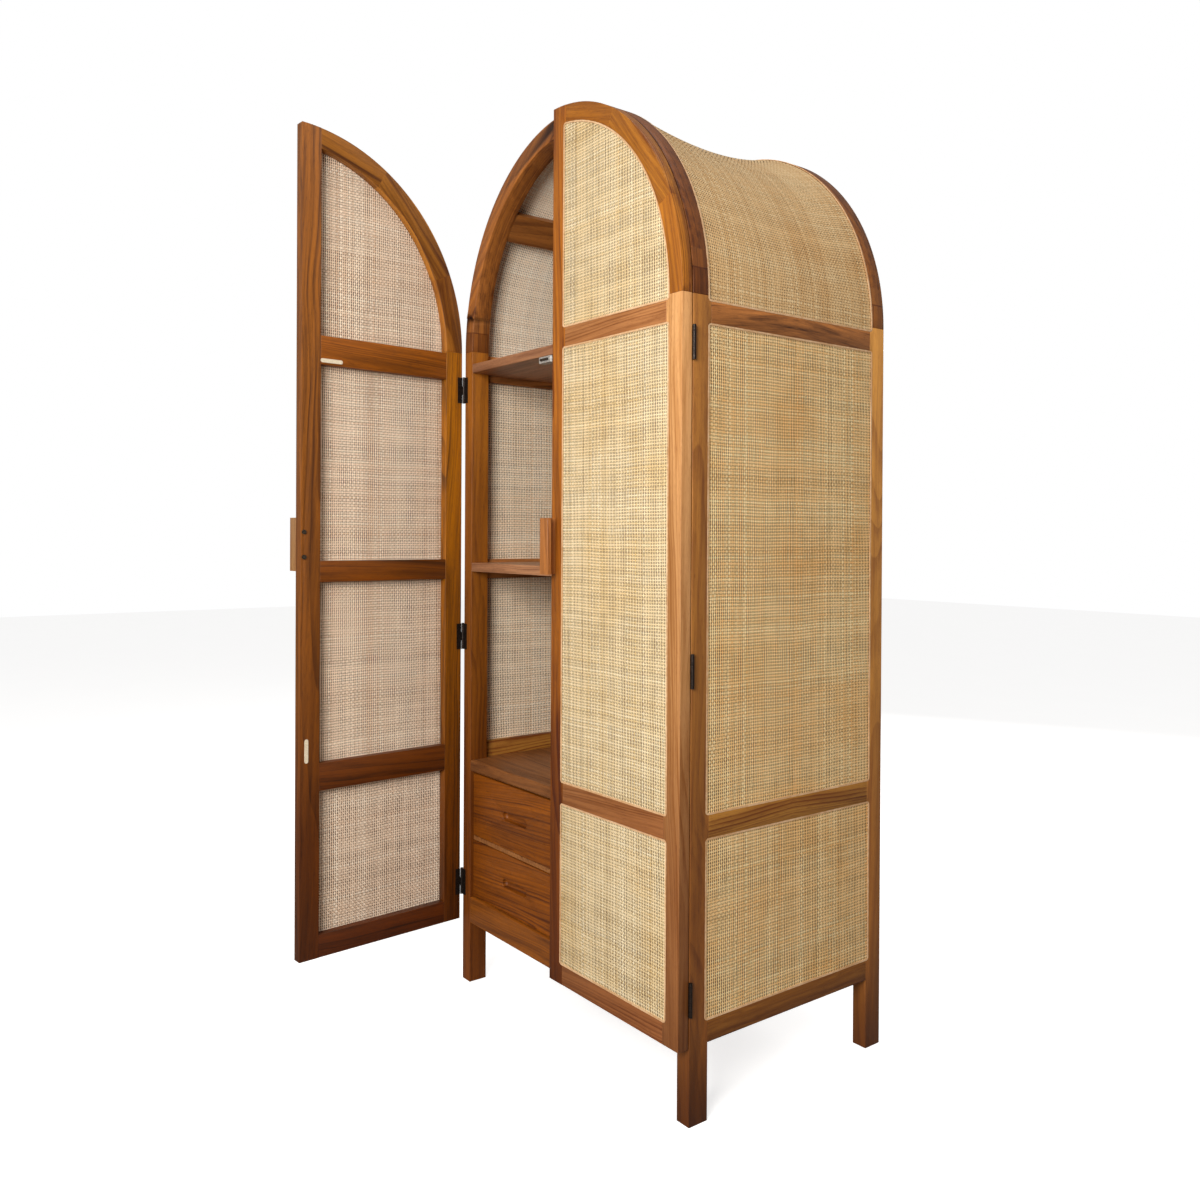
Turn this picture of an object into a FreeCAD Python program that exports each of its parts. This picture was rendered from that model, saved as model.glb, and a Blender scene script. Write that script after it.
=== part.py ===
"""Free-standing arched cabinet in solid wood with woven cane panels, in millimetres.

The origin is on the floor, midway between the four feet. +X points to the viewer's right when
the cabinet is seen from the front, +Y to its back and +Z up. The left door stands open, the
right door is shut and the four drawers are pushed in. Everything is drawn on the right-hand
side first and then mirrored, and the left door is swung open last.
"""

import FreeCAD
import Part
import math
import os
from FreeCAD import Vector

# Case
CASE_WIDTH = 850.0
CASE_DEPTH = 554.0
CASE_HEIGHT = 2020.0
LEG_HEIGHT = 148.0
ARCH_RISE = 464.0
ARCH_CROWN = 42.0
POST_WIDTH = 35.0
POST_DEPTH = 46.0
ARCH_JOINT_ANGLES = (0.0, 6.0, 10.7, 90.0)

# Rails between the posts
SIDE_RAIL_THICKNESS = 20.0
BOTTOM_RAIL_HEIGHT = 51.0
LOWER_RAIL_HEIGHT = 62.0
UPPER_RAIL_HEIGHT = 65.0
BATTEN_HEIGHT = 48.0
UPPER_RAIL_DROP = 4.0
LOWER_RAIL_LIFT = 4.0
BATTEN_DROP = 18.0
FRONT_RAIL_HEIGHT = 62.0
FRONT_RAIL_THICKNESS = 25.0
BACK_RAIL_THICKNESS = 20.0

# Back
BACK_PANEL_THICKNESS = 6.0
BACK_PANEL_LAP = 10.0

# Cane panels, seated in shallow recesses in the outer faces and held by a flat spline
CANE_THICKNESS = 1.6
SPLINE_THICKNESS = 1.4
SPLINE_WIDTH = 3.5
PANEL_LAP = 9.0
UPPER_RAIL_LOW_LAP = 18.0
UPPER_RAIL_TOP_LAP = 6.0
CASE_PANEL_LAP = 8.0
PANEL_CORNER_RADIUS = 7.0

# Roof
ROOF_SAG = 30.0
ROOF_SECTIONS = 9
PURLIN_WIDTH = 70.0
PURLIN_THICKNESS = 18.0
PURLIN_ANGLE = 43.0

# Shelves and partitions
SHELF_THICKNESS = 22.0
UPPER_SHELF_LIFT = 16.0
MIDDLE_SHELF_HEIGHT = 1014.0
DRAWER_BOARD_THICKNESS = 28.0
DRAWER_BOARD_NOSE_RADIUS = 5.0
SHELF_NOSE_RADIUS = 2.0
PARTITION_THICKNESS = 18.0

# Drawers, two rows of two
DRAWER_RECESS = 8.0
DRAWER_FRONT_THICKNESS = 20.0
DRAWER_FRONT_GAP = 1.0
DRAWER_GAP = 2.0
LOWER_FRONT_HEIGHT = 138.0
UPPER_FRONT_HEIGHT = 151.0
BOARD_SHADOW_GAP = 6.0
DIVIDER_THICKNESS = 10.0
DIVIDER_RECESS = 10.0
DIVIDER_DEPTH = 36.0
SLOT_LENGTH = 104.0
SLOT_HEIGHT = 20.0
BOX_REAR_CLEARANCE = 50.0
BOX_WALL = 12.0
BOX_SIDE_CLEARANCE = 3.0
BOX_LIFT = 4.0
BOX_TOP_DROP = 16.0
BOX_BOTTOM_THICKNESS = 6.0
BOX_BOTTOM_LIFT = 10.0
BOX_GROOVE_DEPTH = 5.0
RUNNER_HEIGHT = 28.0
RUNNER_WIDTH = 16.0
RUNNER_CLEARANCE = 0.4

# Doors
DOOR_THICKNESS = 25.0
DOOR_GAP = 2.7
MEETING_GAP = 3.0
STILE_WIDTH = 46.0
LEFT_DOOR_ANGLE = 85.7

# Butt hinges
HINGE_LENGTH = 63.5
HINGE_RADIUS = 3.5
HINGE_OFFSET = 4.5
HINGE_LEAF_WIDTH = 13.0
HINGE_LEAF_THICKNESS = 1.1
HINGE_END_DISTANCE = 92.5
HINGE_KNUCKLES = 3
KNUCKLE_CLEARANCE = 0.3
PIN_RADIUS = 1.6
PIN_CLEARANCE = 0.05
PIN_HEAD_RADIUS = 3.3
PIN_HEAD_HEIGHT = 1.5

# Handles
HANDLE_LENGTH = 120.0
HANDLE_BASE_HEIGHT = 1021.0
HANDLE_STEM_WIDTH = 14.0
HANDLE_STEM_DEPTH = 21.0
HANDLE_PLATE_WIDTH = 30.0
HANDLE_PLATE_THICKNESS = 10.0
HANDLE_EDGE_RADIUS = 2.0
HANDLE_SCREW_INSET = 32.0
SCREW_RADIUS = 2.0
SCREW_HOLE_CLEARANCE = 0.1
SCREW_HEAD_RADIUS = 5.0
SCREW_HEAD_HEIGHT = 2.8
SCREW_BITE = 15.0

# Magnetic catches and the strike plates that they hold
CATCH_LENGTH = 50.0
CATCH_HEIGHT = 14.0
CATCH_DEPTH = 18.0
CATCH_SETBACK = 2.0
CATCH_CORNER_BEVEL = 3.0
MAGNET_LENGTH = 30.0
MAGNET_HEIGHT = 5.0
MAGNET_DEPTH = 12.0
MAGNET_GAP = 0.5
STRIKE_LENGTH = 54.0
STRIKE_WIDTH = 9.0
STRIKE_THICKNESS = 1.0
UPPER_CATCH_OFFSET = 74.0
LOWER_CATCH_LIFT = 69.5

# One length by which every cut runs past the face that it opens
OVERRUN = 5.0

# Origin and directions
ORIGIN = Vector(0, 0, 0)
ACROSS = Vector(1, 0, 0)
INWARD = Vector(0, 1, 0)
UPWARD = Vector(0, 0, 1)

# Planes and heights worked out from the sizes above
FRONT = -CASE_DEPTH / 2
BACK = CASE_DEPTH / 2
HALF = CASE_WIDTH / 2
SPRING = CASE_HEIGHT - ARCH_RISE
POST_INNER = HALF - POST_WIDTH
RAIL_INNER = HALF - SIDE_RAIL_THICKNESS
BAY_FRONT = FRONT + POST_DEPTH
BAY_BACK = BACK - POST_DEPTH
INNER_RISE = ARCH_RISE - ARCH_CROWN
RECESS = CANE_THICKNESS + SPLINE_THICKNESS
BACK_PANEL_FRONT = BACK - BACK_PANEL_THICKNESS
BACK_RAIL_FRONT = BACK_PANEL_FRONT - BACK_RAIL_THICKNESS

FRONT_RAIL_TOP = LEG_HEIGHT + FRONT_RAIL_HEIGHT
LOWER_FRONT_LOW = FRONT_RAIL_TOP + DRAWER_GAP
LOWER_FRONT_TOP = LOWER_FRONT_LOW + LOWER_FRONT_HEIGHT
DIVIDER_LOW = LOWER_FRONT_TOP + DRAWER_GAP
DIVIDER_TOP = DIVIDER_LOW + DIVIDER_THICKNESS
UPPER_FRONT_LOW = DIVIDER_TOP + DRAWER_GAP
UPPER_FRONT_TOP = UPPER_FRONT_LOW + UPPER_FRONT_HEIGHT
BOARD_LOW = UPPER_FRONT_TOP + BOARD_SHADOW_GAP
BOARD_TOP = BOARD_LOW + DRAWER_BOARD_THICKNESS

BOTTOM_RAIL = (LEG_HEIGHT, LEG_HEIGHT + BOTTOM_RAIL_HEIGHT)
LOWER_RAIL_LOW = BOARD_LOW + LOWER_RAIL_LIFT
LOWER_RAIL = (LOWER_RAIL_LOW, LOWER_RAIL_LOW + LOWER_RAIL_HEIGHT)
BATTEN_LOW = MIDDLE_SHELF_HEIGHT - BATTEN_DROP
BATTEN = (BATTEN_LOW, BATTEN_LOW + BATTEN_HEIGHT)
UPPER_RAIL_TOP = SPRING - UPPER_RAIL_DROP
UPPER_RAIL = (UPPER_RAIL_TOP - UPPER_RAIL_HEIGHT, UPPER_RAIL_TOP)
UPPER_SHELF_LOW = UPPER_RAIL[0] + UPPER_SHELF_LIFT

LOWER_PANEL = (BOTTOM_RAIL[1] - PANEL_LAP, LOWER_RAIL[0] + PANEL_LAP)
MIDDLE_PANEL = (LOWER_RAIL[1] - PANEL_LAP, UPPER_RAIL[0] + UPPER_RAIL_LOW_LAP)
ROOF_PANEL_LOW = UPPER_RAIL_TOP - UPPER_RAIL_TOP_LAP

DOOR_BACK = FRONT - DOOR_GAP
DOOR_FRONT = DOOR_BACK - DOOR_THICKNESS
MEETING_EDGE = MEETING_GAP / 2
MEETING_INNER = MEETING_EDGE + STILE_WIDTH
HINGE_INNER = HALF - STILE_WIDTH
HINGE_X = HALF + HINGE_OFFSET
HINGE_Y = FRONT - DOOR_GAP / 2
LOW_HINGE = LEG_HEIGHT + HINGE_END_DISTANCE
TOP_HINGE = SPRING - HINGE_END_DISTANCE
HINGE_HEIGHTS = (LOW_HINGE, (LOW_HINGE + TOP_HINGE) / 2, TOP_HINGE)


def block(x_span, y_span, z_span):
    """Box over three spans."""
    low = Vector(x_span[0], y_span[0], z_span[0])
    size = Vector(x_span[1], y_span[1], z_span[1]) - low
    return Part.makeBox(size.x, size.y, size.z, low)


def edges_along(solid, axis):
    """The straight edges of a solid that run along an axis."""
    return [edge for edge in solid.Edges if abs(edge.tangentAt(edge.FirstParameter).dot(axis)) > 0.5]


def rounded_block(x_span, y_span, z_span, thin, radius):
    """Box over three spans, with the four edges along the axis named thin rounded."""
    solid = block(x_span, y_span, z_span)
    return solid.makeFillet(radius, edges_along(solid, thin))


def mirrored(shape):
    """The same piece on the other side of the cabinet's middle plane."""
    return shape.mirror(ORIGIN, ACROSS)


def both_sides(shapes):
    """The right-hand pieces and their mirror images."""
    return list(shapes) + [mirrored(shape) for shape in shapes]


def ellipse_edge(half_width, rise, start, end, y):
    """Upright ellipse about the middle of the spring line, between two angles in degrees."""
    unit = Part.makeCircle(1, ORIGIN, UPWARD, start, end)
    stretch = FreeCAD.Matrix()
    stretch.scale(half_width, rise, 1)
    stretch.rotateX(math.radians(90))
    stretch.move(0, y, SPRING)
    return unit.transformGeometry(stretch).Edges[0]


def closed_face(edges):
    """Flat face inside a closed run of edges."""
    return Part.Face(Part.Wire(Part.__sortEdges__(edges)))


def ends(edge):
    """First and last point of an edge."""
    return edge.Vertexes[0].Point, edge.Vertexes[-1].Point


def arch_stretch(outer, inner, start, end, y_span):
    """Solid stretch of a round-headed arch between two joint angles, each (half width, rise)."""
    over = ellipse_edge(outer[0], outer[1], start, end, y_span[0])
    under = ellipse_edge(inner[0], inner[1], start, end, y_span[0])
    joints = [Part.makeLine(a, b) for a, b in zip(ends(over), ends(under))]
    face = closed_face([over, under] + joints)
    return face.extrude(Vector(0, y_span[1] - y_span[0], 0))


def headed_wire(half_width, rise, low, y):
    """Closed outline with a round head: two upright sides and a flat foot."""
    head = ellipse_edge(half_width, rise, 0, 180, y)
    right, left = Vector(half_width, y, low), Vector(-half_width, y, low)
    right_top, left_top = ends(head)
    sides = [Part.makeLine(right, right_top), Part.makeLine(left_top, left), Part.makeLine(left, right)]
    return Part.Wire(Part.__sortEdges__([head] + sides))


def headed_block(half_width, rise, low, y_span):
    """Solid with a round head, upright sides and a flat foot."""
    face = Part.Face(headed_wire(half_width, rise, low, y_span[0]))
    return face.extrude(Vector(0, y_span[1] - y_span[0], 0))


def hoop(outset, inset, low, y_span):
    """Bent sheet over the whole cabinet, between two depths under the arches' outer curve."""
    outside = headed_block(HALF - outset, ARCH_RISE - outset, low, y_span)
    inside = headed_block(HALF - inset, ARCH_RISE - inset, low, y_span)
    return outside.cut(inside)


def drilled(shape, tools):
    """The shape with each tool cut away."""
    for tool in tools:
        shape = shape.cut(tool)
    return shape


def side_recess(span):
    """Tool for the shallow recess that takes one side panel."""
    x_span = (HALF - RECESS, HALF + OVERRUN)
    return rounded_block(x_span, PANEL_Y, span, ACROSS, PANEL_CORNER_RADIUS)


def roof_corner_block(inset):
    """Block that trims a roof piece to its outline, with rounded lower corners."""
    y_span = (PANEL_Y[0] + inset, PANEL_Y[1] - inset)
    z_span = (ROOF_PANEL_LOW + inset, CASE_HEIGHT + OVERRUN + PANEL_CORNER_RADIUS)
    x_span = (-HALF - OVERRUN, HALF + OVERRUN)
    return rounded_block(x_span, y_span, z_span, ACROSS, PANEL_CORNER_RADIUS - inset)


PANEL_Y = (BAY_FRONT - CASE_PANEL_LAP, BAY_BACK + CASE_PANEL_LAP)
SIDE_RECESSES = [side_recess(span) for span in (LOWER_PANEL, MIDDLE_PANEL)]
ROOF_RECESS = hoop(-OVERRUN, RECESS, ROOF_PANEL_LOW, PANEL_Y).common(roof_corner_block(0.0))
BACK_RECESS = headed_block(
    POST_INNER + BACK_PANEL_LAP, INNER_RISE + BACK_PANEL_LAP, LEG_HEIGHT, (BACK_PANEL_FRONT, BACK + OVERRUN)
)


def post(y_span):
    """Right-hand post, from the floor to the foot of its arch, recessed for the panels."""
    solid = block((POST_INNER, HALF), y_span, (0, SPRING))
    return drilled(solid, SIDE_RECESSES + [ROOF_RECESS, BACK_RECESS])


def case_arch(y_span):
    """Arch of a case frame, in stretches glued end to end on both sides of its crown."""
    outer, inner = (HALF, ARCH_RISE), (POST_INNER, INNER_RISE)
    pairs = zip(ARCH_JOINT_ANGLES[:-1], ARCH_JOINT_ANGLES[1:])
    stretches = [arch_stretch(outer, inner, start, end, y_span) for start, end in pairs]
    return both_sides([drilled(solid, [ROOF_RECESS, BACK_RECESS]) for solid in stretches])


def side_rail(z_span):
    """Right-hand rail between the front and back posts, flush with their outer faces."""
    solid = block((RAIL_INNER, HALF), (BAY_FRONT, BAY_BACK), z_span)
    return drilled(solid, SIDE_RECESSES + [ROOF_RECESS])


def side_sheet(span):
    """Flat cane sheet at the bottom of one side recess."""
    outer = HALF - SPLINE_THICKNESS
    return rounded_block((outer - CANE_THICKNESS, outer), PANEL_Y, span, ACROSS, PANEL_CORNER_RADIUS)


def side_spline(span):
    """Flat strip round the rim of one side recess, flush with the wood."""
    x_span = (HALF - SPLINE_THICKNESS, HALF)
    inner_y = (PANEL_Y[0] + SPLINE_WIDTH, PANEL_Y[1] - SPLINE_WIDTH)
    inner_z = (span[0] + SPLINE_WIDTH, span[1] - SPLINE_WIDTH)
    outside = rounded_block(x_span, PANEL_Y, span, ACROSS, PANEL_CORNER_RADIUS)
    return outside.cut(block(x_span, inner_y, inner_z))


def roof_section(y, depth, sag):
    """Outline of the roof sheet's head at one station, at a depth below the arches' curve."""
    return headed_wire(HALF - depth, ARCH_RISE - depth - sag, ROOF_PANEL_LOW, y)


def sagged_block(depth):
    """Solid under the saddle: round heads that sag between the arches as a parabola."""
    shares = [2 * i / (ROOF_SECTIONS - 1) - 1 for i in range(ROOF_SECTIONS)]
    half_bay = (BAY_BACK - BAY_FRONT) / 2
    wires = [roof_section(half_bay * share, depth, ROOF_SAG * (1 - share**2)) for share in shares]
    return Part.makeLoft(wires, True, True)


def roof_sheet():
    """Roof cane: a saddle stretched from arch to arch, lapped on both arches and side rails."""
    saddle = sagged_block(SPLINE_THICKNESS).cut(sagged_block(RECESS))
    laps = [(PANEL_Y[0], BAY_FRONT), (BAY_BACK, PANEL_Y[1])]
    for y_span in laps:
        saddle = saddle.fuse(hoop(SPLINE_THICKNESS, RECESS, ROOF_PANEL_LOW, y_span))
    return saddle.common(roof_corner_block(0.0)).removeSplitter()


def roof_splines():
    """Strip along each arch and along the top of each side, flush with the wood."""
    rim = hoop(0.0, SPLINE_THICKNESS, ROOF_PANEL_LOW, PANEL_Y)
    return rim.common(roof_corner_block(0.0)).cut(roof_corner_block(SPLINE_WIDTH)).Solids


def purlin():
    """Right-hand flat board between the arches, its inner face on their inner curve."""
    angle = math.radians(PURLIN_ANGLE)
    foot = Vector(POST_INNER * math.cos(angle), BAY_FRONT, SPRING + INNER_RISE * math.sin(angle))
    outward = Vector(math.cos(angle) / POST_INNER, 0, math.sin(angle) / INNER_RISE).normalize()
    along = Vector(-outward.z, 0, outward.x)
    corners = [foot - along * (PURLIN_WIDTH / 2), foot + along * (PURLIN_WIDTH / 2)]
    corners += [corner + outward * PURLIN_THICKNESS for corner in reversed(corners)]
    face = Part.Face(Part.makePolygon(corners + corners[:1]))
    return face.extrude(Vector(0, BAY_BACK - BAY_FRONT, 0))


def back_rail(z_span):
    """Rail across the back, between the back posts and against the back panel."""
    return block((-POST_INNER, POST_INNER), (BACK_RAIL_FRONT, BACK_PANEL_FRONT), z_span)


def shelf(z_span, back, nose_radius):
    """Board across the case, let round the posts to meet the side rails, its front edge eased."""
    solid = block((-RAIL_INNER, RAIL_INNER), (FRONT, back), z_span)
    for y_span in ((FRONT - OVERRUN, BAY_FRONT), (BAY_BACK, BACK)):
        notch = block((POST_INNER, RAIL_INNER + OVERRUN), y_span, z_span)
        solid = drilled(solid, [notch, mirrored(notch)])
    front_edges = [
        edge
        for edge in solid.Edges
        if all(abs(vertex.Y - FRONT) < nose_radius for vertex in edge.Vertexes)
        and abs(edge.BoundBox.XLength) > CASE_WIDTH / 2
    ]
    return solid.makeFillet(nose_radius, front_edges)


def partition(z_span, rails):
    """Upright board on the middle plane, notched round the rails that it crosses."""
    x_span = (-PARTITION_THICKNESS / 2, PARTITION_THICKNESS / 2)
    return drilled(block(x_span, (FRONT, BACK_PANEL_FRONT), z_span), rails)


# A drawer row is its name with the low and the top of its fronts
DRAWER_ROWS = (
    ("upper", UPPER_FRONT_LOW, UPPER_FRONT_TOP),
    ("lower", LOWER_FRONT_LOW, LOWER_FRONT_TOP),
)
BOX_OUTER = POST_INNER - BOX_SIDE_CLEARANCE
FRONT_INNER = PARTITION_THICKNESS / 2 + DRAWER_FRONT_GAP
BOX_INNER = PARTITION_THICKNESS / 2 + BOX_SIDE_CLEARANCE
DRAWER_FACE = FRONT + DRAWER_RECESS
BOX_FRONT = DRAWER_FACE + DRAWER_FRONT_THICKNESS


def runners(front_low):
    """Two strips that carry a right-hand drawer: one on the posts and one on the partition."""
    top = front_low + BOX_LIFT - RUNNER_CLEARANCE
    z_span, y_span = (top - RUNNER_HEIGHT, top), (BAY_FRONT, BAY_BACK)
    outer = block((BOX_OUTER - BOX_WALL, RAIL_INNER), y_span, z_span)
    inner_edge = PARTITION_THICKNESS / 2
    inner = block((inner_edge, inner_edge + RUNNER_WIDTH), y_span, z_span)
    return [outer, inner]


def divider_rail():
    """Strip between the two right-hand drawers, from the post to the partition."""
    face = FRONT + DIVIDER_RECESS
    x_span = (PARTITION_THICKNESS / 2, POST_INNER)
    return block(x_span, (face, face + DIVIDER_DEPTH), (DIVIDER_LOW, DIVIDER_TOP))


def drawer_front(low, top):
    """Right-hand drawer front with its round-ended finger slot in the middle."""
    solid = block((FRONT_INNER, POST_INNER - DRAWER_FRONT_GAP), (DRAWER_FACE, BOX_FRONT), (low, top))
    centre = solid.BoundBox.Center
    half_length, half_height = SLOT_LENGTH / 2, SLOT_HEIGHT / 2
    core = half_length - half_height
    y_span = (DRAWER_FACE - OVERRUN, BOX_FRONT + OVERRUN)
    slot = block((centre.x - core, centre.x + core), y_span, (centre.z - half_height, centre.z + half_height))
    for x in (centre.x - core, centre.x + core):
        start = Vector(x, y_span[0], centre.z)
        slot = slot.fuse(Part.makeCylinder(half_height, y_span[1] - y_span[0], start, INWARD))
    return solid.cut(slot)


def drawer_box(low, top):
    """Right-hand drawer box: two sides, a back and a bottom let into grooves in all three."""
    z_span = (low + BOX_LIFT, top - BOX_TOP_DROP)
    box_back = BACK_RAIL_FRONT - BOX_REAR_CLEARANCE
    back_front = box_back - BOX_WALL
    inner, outer = BOX_INNER + BOX_WALL, BOX_OUTER - BOX_WALL
    sides = [
        block((BOX_INNER, inner), (BOX_FRONT, box_back), z_span),
        block((outer, BOX_OUTER), (BOX_FRONT, box_back), z_span),
    ]
    back = block((inner, outer), (back_front, box_back), z_span)
    bottom_low = z_span[0] + BOX_BOTTOM_LIFT
    bottom = block(
        (inner - BOX_GROOVE_DEPTH, outer + BOX_GROOVE_DEPTH),
        (BOX_FRONT, back_front + BOX_GROOVE_DEPTH),
        (bottom_low, bottom_low + BOX_BOTTOM_THICKNESS),
    )
    return [wall.cut(bottom) for wall in sides + [back]] + [bottom]


def knuckle_span(centre, index):
    """Heights of one knuckle of a hinge, a little short of its neighbours."""
    pitch = HINGE_LENGTH / HINGE_KNUCKLES
    low = centre - HINGE_LENGTH / 2 + pitch * index
    return low + KNUCKLE_CLEARANCE / 2, low + pitch - KNUCKLE_CLEARANCE / 2


def hinge_leaf(centre, y_span, first_knuckle):
    """Right-hand hinge leaf with every second knuckle, bored for the pin."""
    z_span = (centre - HINGE_LENGTH / 2, centre + HINGE_LENGTH / 2)
    leaf = block((HALF - HINGE_LEAF_WIDTH, HALF), y_span, z_span)
    for index in range(first_knuckle, HINGE_KNUCKLES, 2):
        low, top = knuckle_span(centre, index)
        barrel = Part.makeCylinder(HINGE_RADIUS, top - low, Vector(HINGE_X, HINGE_Y, low))
        leaf = leaf.fuse([block((HALF, HINGE_X), y_span, (low, top)), barrel])
    bore_foot = Vector(HINGE_X, HINGE_Y, z_span[0] - OVERRUN)
    bore = Part.makeCylinder(PIN_RADIUS + PIN_CLEARANCE, HINGE_LENGTH + 2 * OVERRUN, bore_foot)
    return leaf.cut(bore)


def hinge_pin(centre):
    """Hinge pin, let in from above, with a flat round head."""
    half = HINGE_LENGTH / 2 - KNUCKLE_CLEARANCE / 2
    pin = Part.makeCylinder(PIN_RADIUS, 2 * half, Vector(0, 0, -half))
    head = Part.makeCylinder(PIN_HEAD_RADIUS, PIN_HEAD_HEIGHT, Vector(0, 0, half))
    return pin.fuse(head).translated(Vector(HINGE_X, HINGE_Y, centre))


def door_blank():
    """The right-hand door's outline as one solid: straight to the spring line, then a half head."""
    whole = headed_block(HALF, ARCH_RISE, LEG_HEIGHT, (DOOR_FRONT, DOOR_BACK))
    x_span = (MEETING_EDGE, HALF + OVERRUN)
    y_span = (DOOR_FRONT - OVERRUN, DOOR_BACK + OVERRUN)
    return whole.common(block(x_span, y_span, (LEG_HEIGHT - OVERRUN, CASE_HEIGHT + OVERRUN)))


def upper_panel(inset, y_span):
    """Outline of the door's arched panel as a solid, drawn in by an inset, its corners rounded."""
    lap = STILE_WIDTH - PANEL_LAP + inset
    left, low = MEETING_EDGE + lap, ROOF_PANEL_LOW + inset
    head = headed_block(HALF - lap, ARCH_RISE - lap, low, y_span)
    solid = head.common(block((left, HALF), y_span, (low, CASE_HEIGHT)))
    corners = [
        edge
        for edge in solid.Edges
        if abs(edge.BoundBox.YLength - (y_span[1] - y_span[0])) < CANE_THICKNESS / 10
        and abs(edge.BoundBox.ZMin - SPRING) > UPPER_RAIL_DROP / 10
    ]
    return solid.makeFillet(PANEL_CORNER_RADIUS - inset, corners)


def door_panel(span, inset, y_span):
    """Outline of one straight door panel as a solid, drawn in by an inset, its corners rounded."""
    lap = STILE_WIDTH - PANEL_LAP + inset
    x_span = (MEETING_EDGE + lap, HALF - lap)
    z_span = (span[0] + inset, span[1] - inset)
    return rounded_block(x_span, y_span, z_span, INWARD, PANEL_CORNER_RADIUS - inset)


def door_panels(inset, front, back):
    """The three panels of a door between two depths below its outer face."""
    y_span = (DOOR_FRONT + front, DOOR_FRONT + back)
    straight = [door_panel(span, inset, y_span) for span in (LOWER_PANEL, MIDDLE_PANEL)]
    return straight + [upper_panel(inset, y_span)]


def door_frame():
    """Stiles, arch and rails of the right-hand door, by name."""
    blank = door_blank()
    tools = door_panels(0.0, -OVERRUN, RECESS)
    y_span = (DOOR_FRONT, DOOR_BACK)
    full = (LEG_HEIGHT, CASE_HEIGHT)
    meeting = blank.common(block((MEETING_EDGE, MEETING_INNER), y_span, full))
    hinge = block((HINGE_INNER, HALF), y_span, (LEG_HEIGHT, SPRING))
    arch = arch_stretch((HALF, ARCH_RISE), (HINGE_INNER, ARCH_RISE - STILE_WIDTH), 0, 90, y_span)
    arch = arch.common(block((MEETING_INNER, HALF), y_span, (SPRING, CASE_HEIGHT)))
    spans = (BOTTOM_RAIL, LOWER_RAIL, BATTEN, UPPER_RAIL)
    rails = [block((MEETING_INNER, HINGE_INNER), y_span, span) for span in spans]
    return {
        "meeting_stile": [drilled(meeting, tools + handle_screw_holes())],
        "hinge_stile": [drilled(hinge, tools)],
        "arch": [drilled(arch, tools)],
        "rails": [drilled(rail, tools) for rail in rails],
    }


def handle_screw_axes():
    """Foot of each handle screw on the door's inner face."""
    x = MEETING_EDGE + HANDLE_STEM_WIDTH / 2
    low = HANDLE_BASE_HEIGHT + HANDLE_SCREW_INSET
    top = HANDLE_BASE_HEIGHT + HANDLE_LENGTH - HANDLE_SCREW_INSET
    return [Vector(x, DOOR_BACK, z) for z in (low, top)]


def handle_screw_holes():
    """Tools for the holes that the handle screws pass through."""
    radius = SCREW_RADIUS + SCREW_HOLE_CLEARANCE
    length = DOOR_THICKNESS + SCREW_BITE + SCREW_HOLE_CLEARANCE
    return [Part.makeCylinder(radius, length, foot, -INWARD) for foot in handle_screw_axes()]


def handle_screw(foot):
    """Screw with a low round head on the door's inner face."""
    length = DOOR_THICKNESS + SCREW_BITE
    shank = Part.makeCylinder(SCREW_RADIUS, length, Vector(0, 0, -length))
    solid = shank.fuse(Part.makeCylinder(SCREW_HEAD_RADIUS, SCREW_HEAD_HEIGHT))
    solid.rotate(ORIGIN, ACROSS, -90)
    return solid.translated(foot)


def handle():
    """Hooked grip along the meeting edge: a stem with a plate that turns back over a finger gap."""
    stem, plate = HANDLE_STEM_WIDTH, HANDLE_PLATE_WIDTH
    depth, total = HANDLE_STEM_DEPTH, HANDLE_STEM_DEPTH + HANDLE_PLATE_THICKNESS
    outline = [(0, 0), (stem, 0), (stem, depth), (plate, depth), (plate, total), (0, total)]
    points = [Vector(MEETING_EDGE + u, DOOR_FRONT - w, HANDLE_BASE_HEIGHT) for u, w in outline]
    solid = Part.Face(Part.makePolygon(points + points[:1])).extrude(Vector(0, 0, HANDLE_LENGTH))
    rounded = [
        edge
        for edge in solid.Edges
        if edge.BoundBox.ZLength > HANDLE_LENGTH / 2 and edge.BoundBox.YMax < DOOR_FRONT - depth / 2
    ]
    return drilled(solid.makeFillet(HANDLE_EDGE_RADIUS, rounded), handle_screw_holes())


def catch_pieces():
    """Housing and magnet of a catch, long way along X, its mounting face up at the origin."""
    half = CATCH_LENGTH / 2
    face = FRONT + CATCH_SETBACK
    housing = block((-half, half), (face, face + CATCH_DEPTH), (-CATCH_HEIGHT, 0))
    housing = housing.makeChamfer(CATCH_CORNER_BEVEL, edges_along(housing, UPWARD))
    magnet_face = DOOR_BACK + STRIKE_THICKNESS + MAGNET_GAP
    middle = -CATCH_HEIGHT / 2
    magnet = block(
        (-MAGNET_LENGTH / 2, MAGNET_LENGTH / 2),
        (magnet_face, magnet_face + MAGNET_DEPTH),
        (middle - MAGNET_HEIGHT / 2, middle + MAGNET_HEIGHT / 2),
    )
    return housing.cut(magnet), magnet


LOWER_CATCH_HEIGHT = BOARD_TOP + LOWER_CATCH_LIFT


def upper_place(shape):
    """Place a catch under the upper shelf."""
    return shape.translated(Vector(UPPER_CATCH_OFFSET, 0, UPPER_SHELF_LOW))


def lower_place(shape):
    """Place a catch upright on the right-hand face of the centre partition."""
    turned = shape.copy()
    turned.rotate(ORIGIN, INWARD, -90)
    return turned.translated(Vector(PARTITION_THICKNESS / 2, 0, LOWER_CATCH_HEIGHT))


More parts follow.
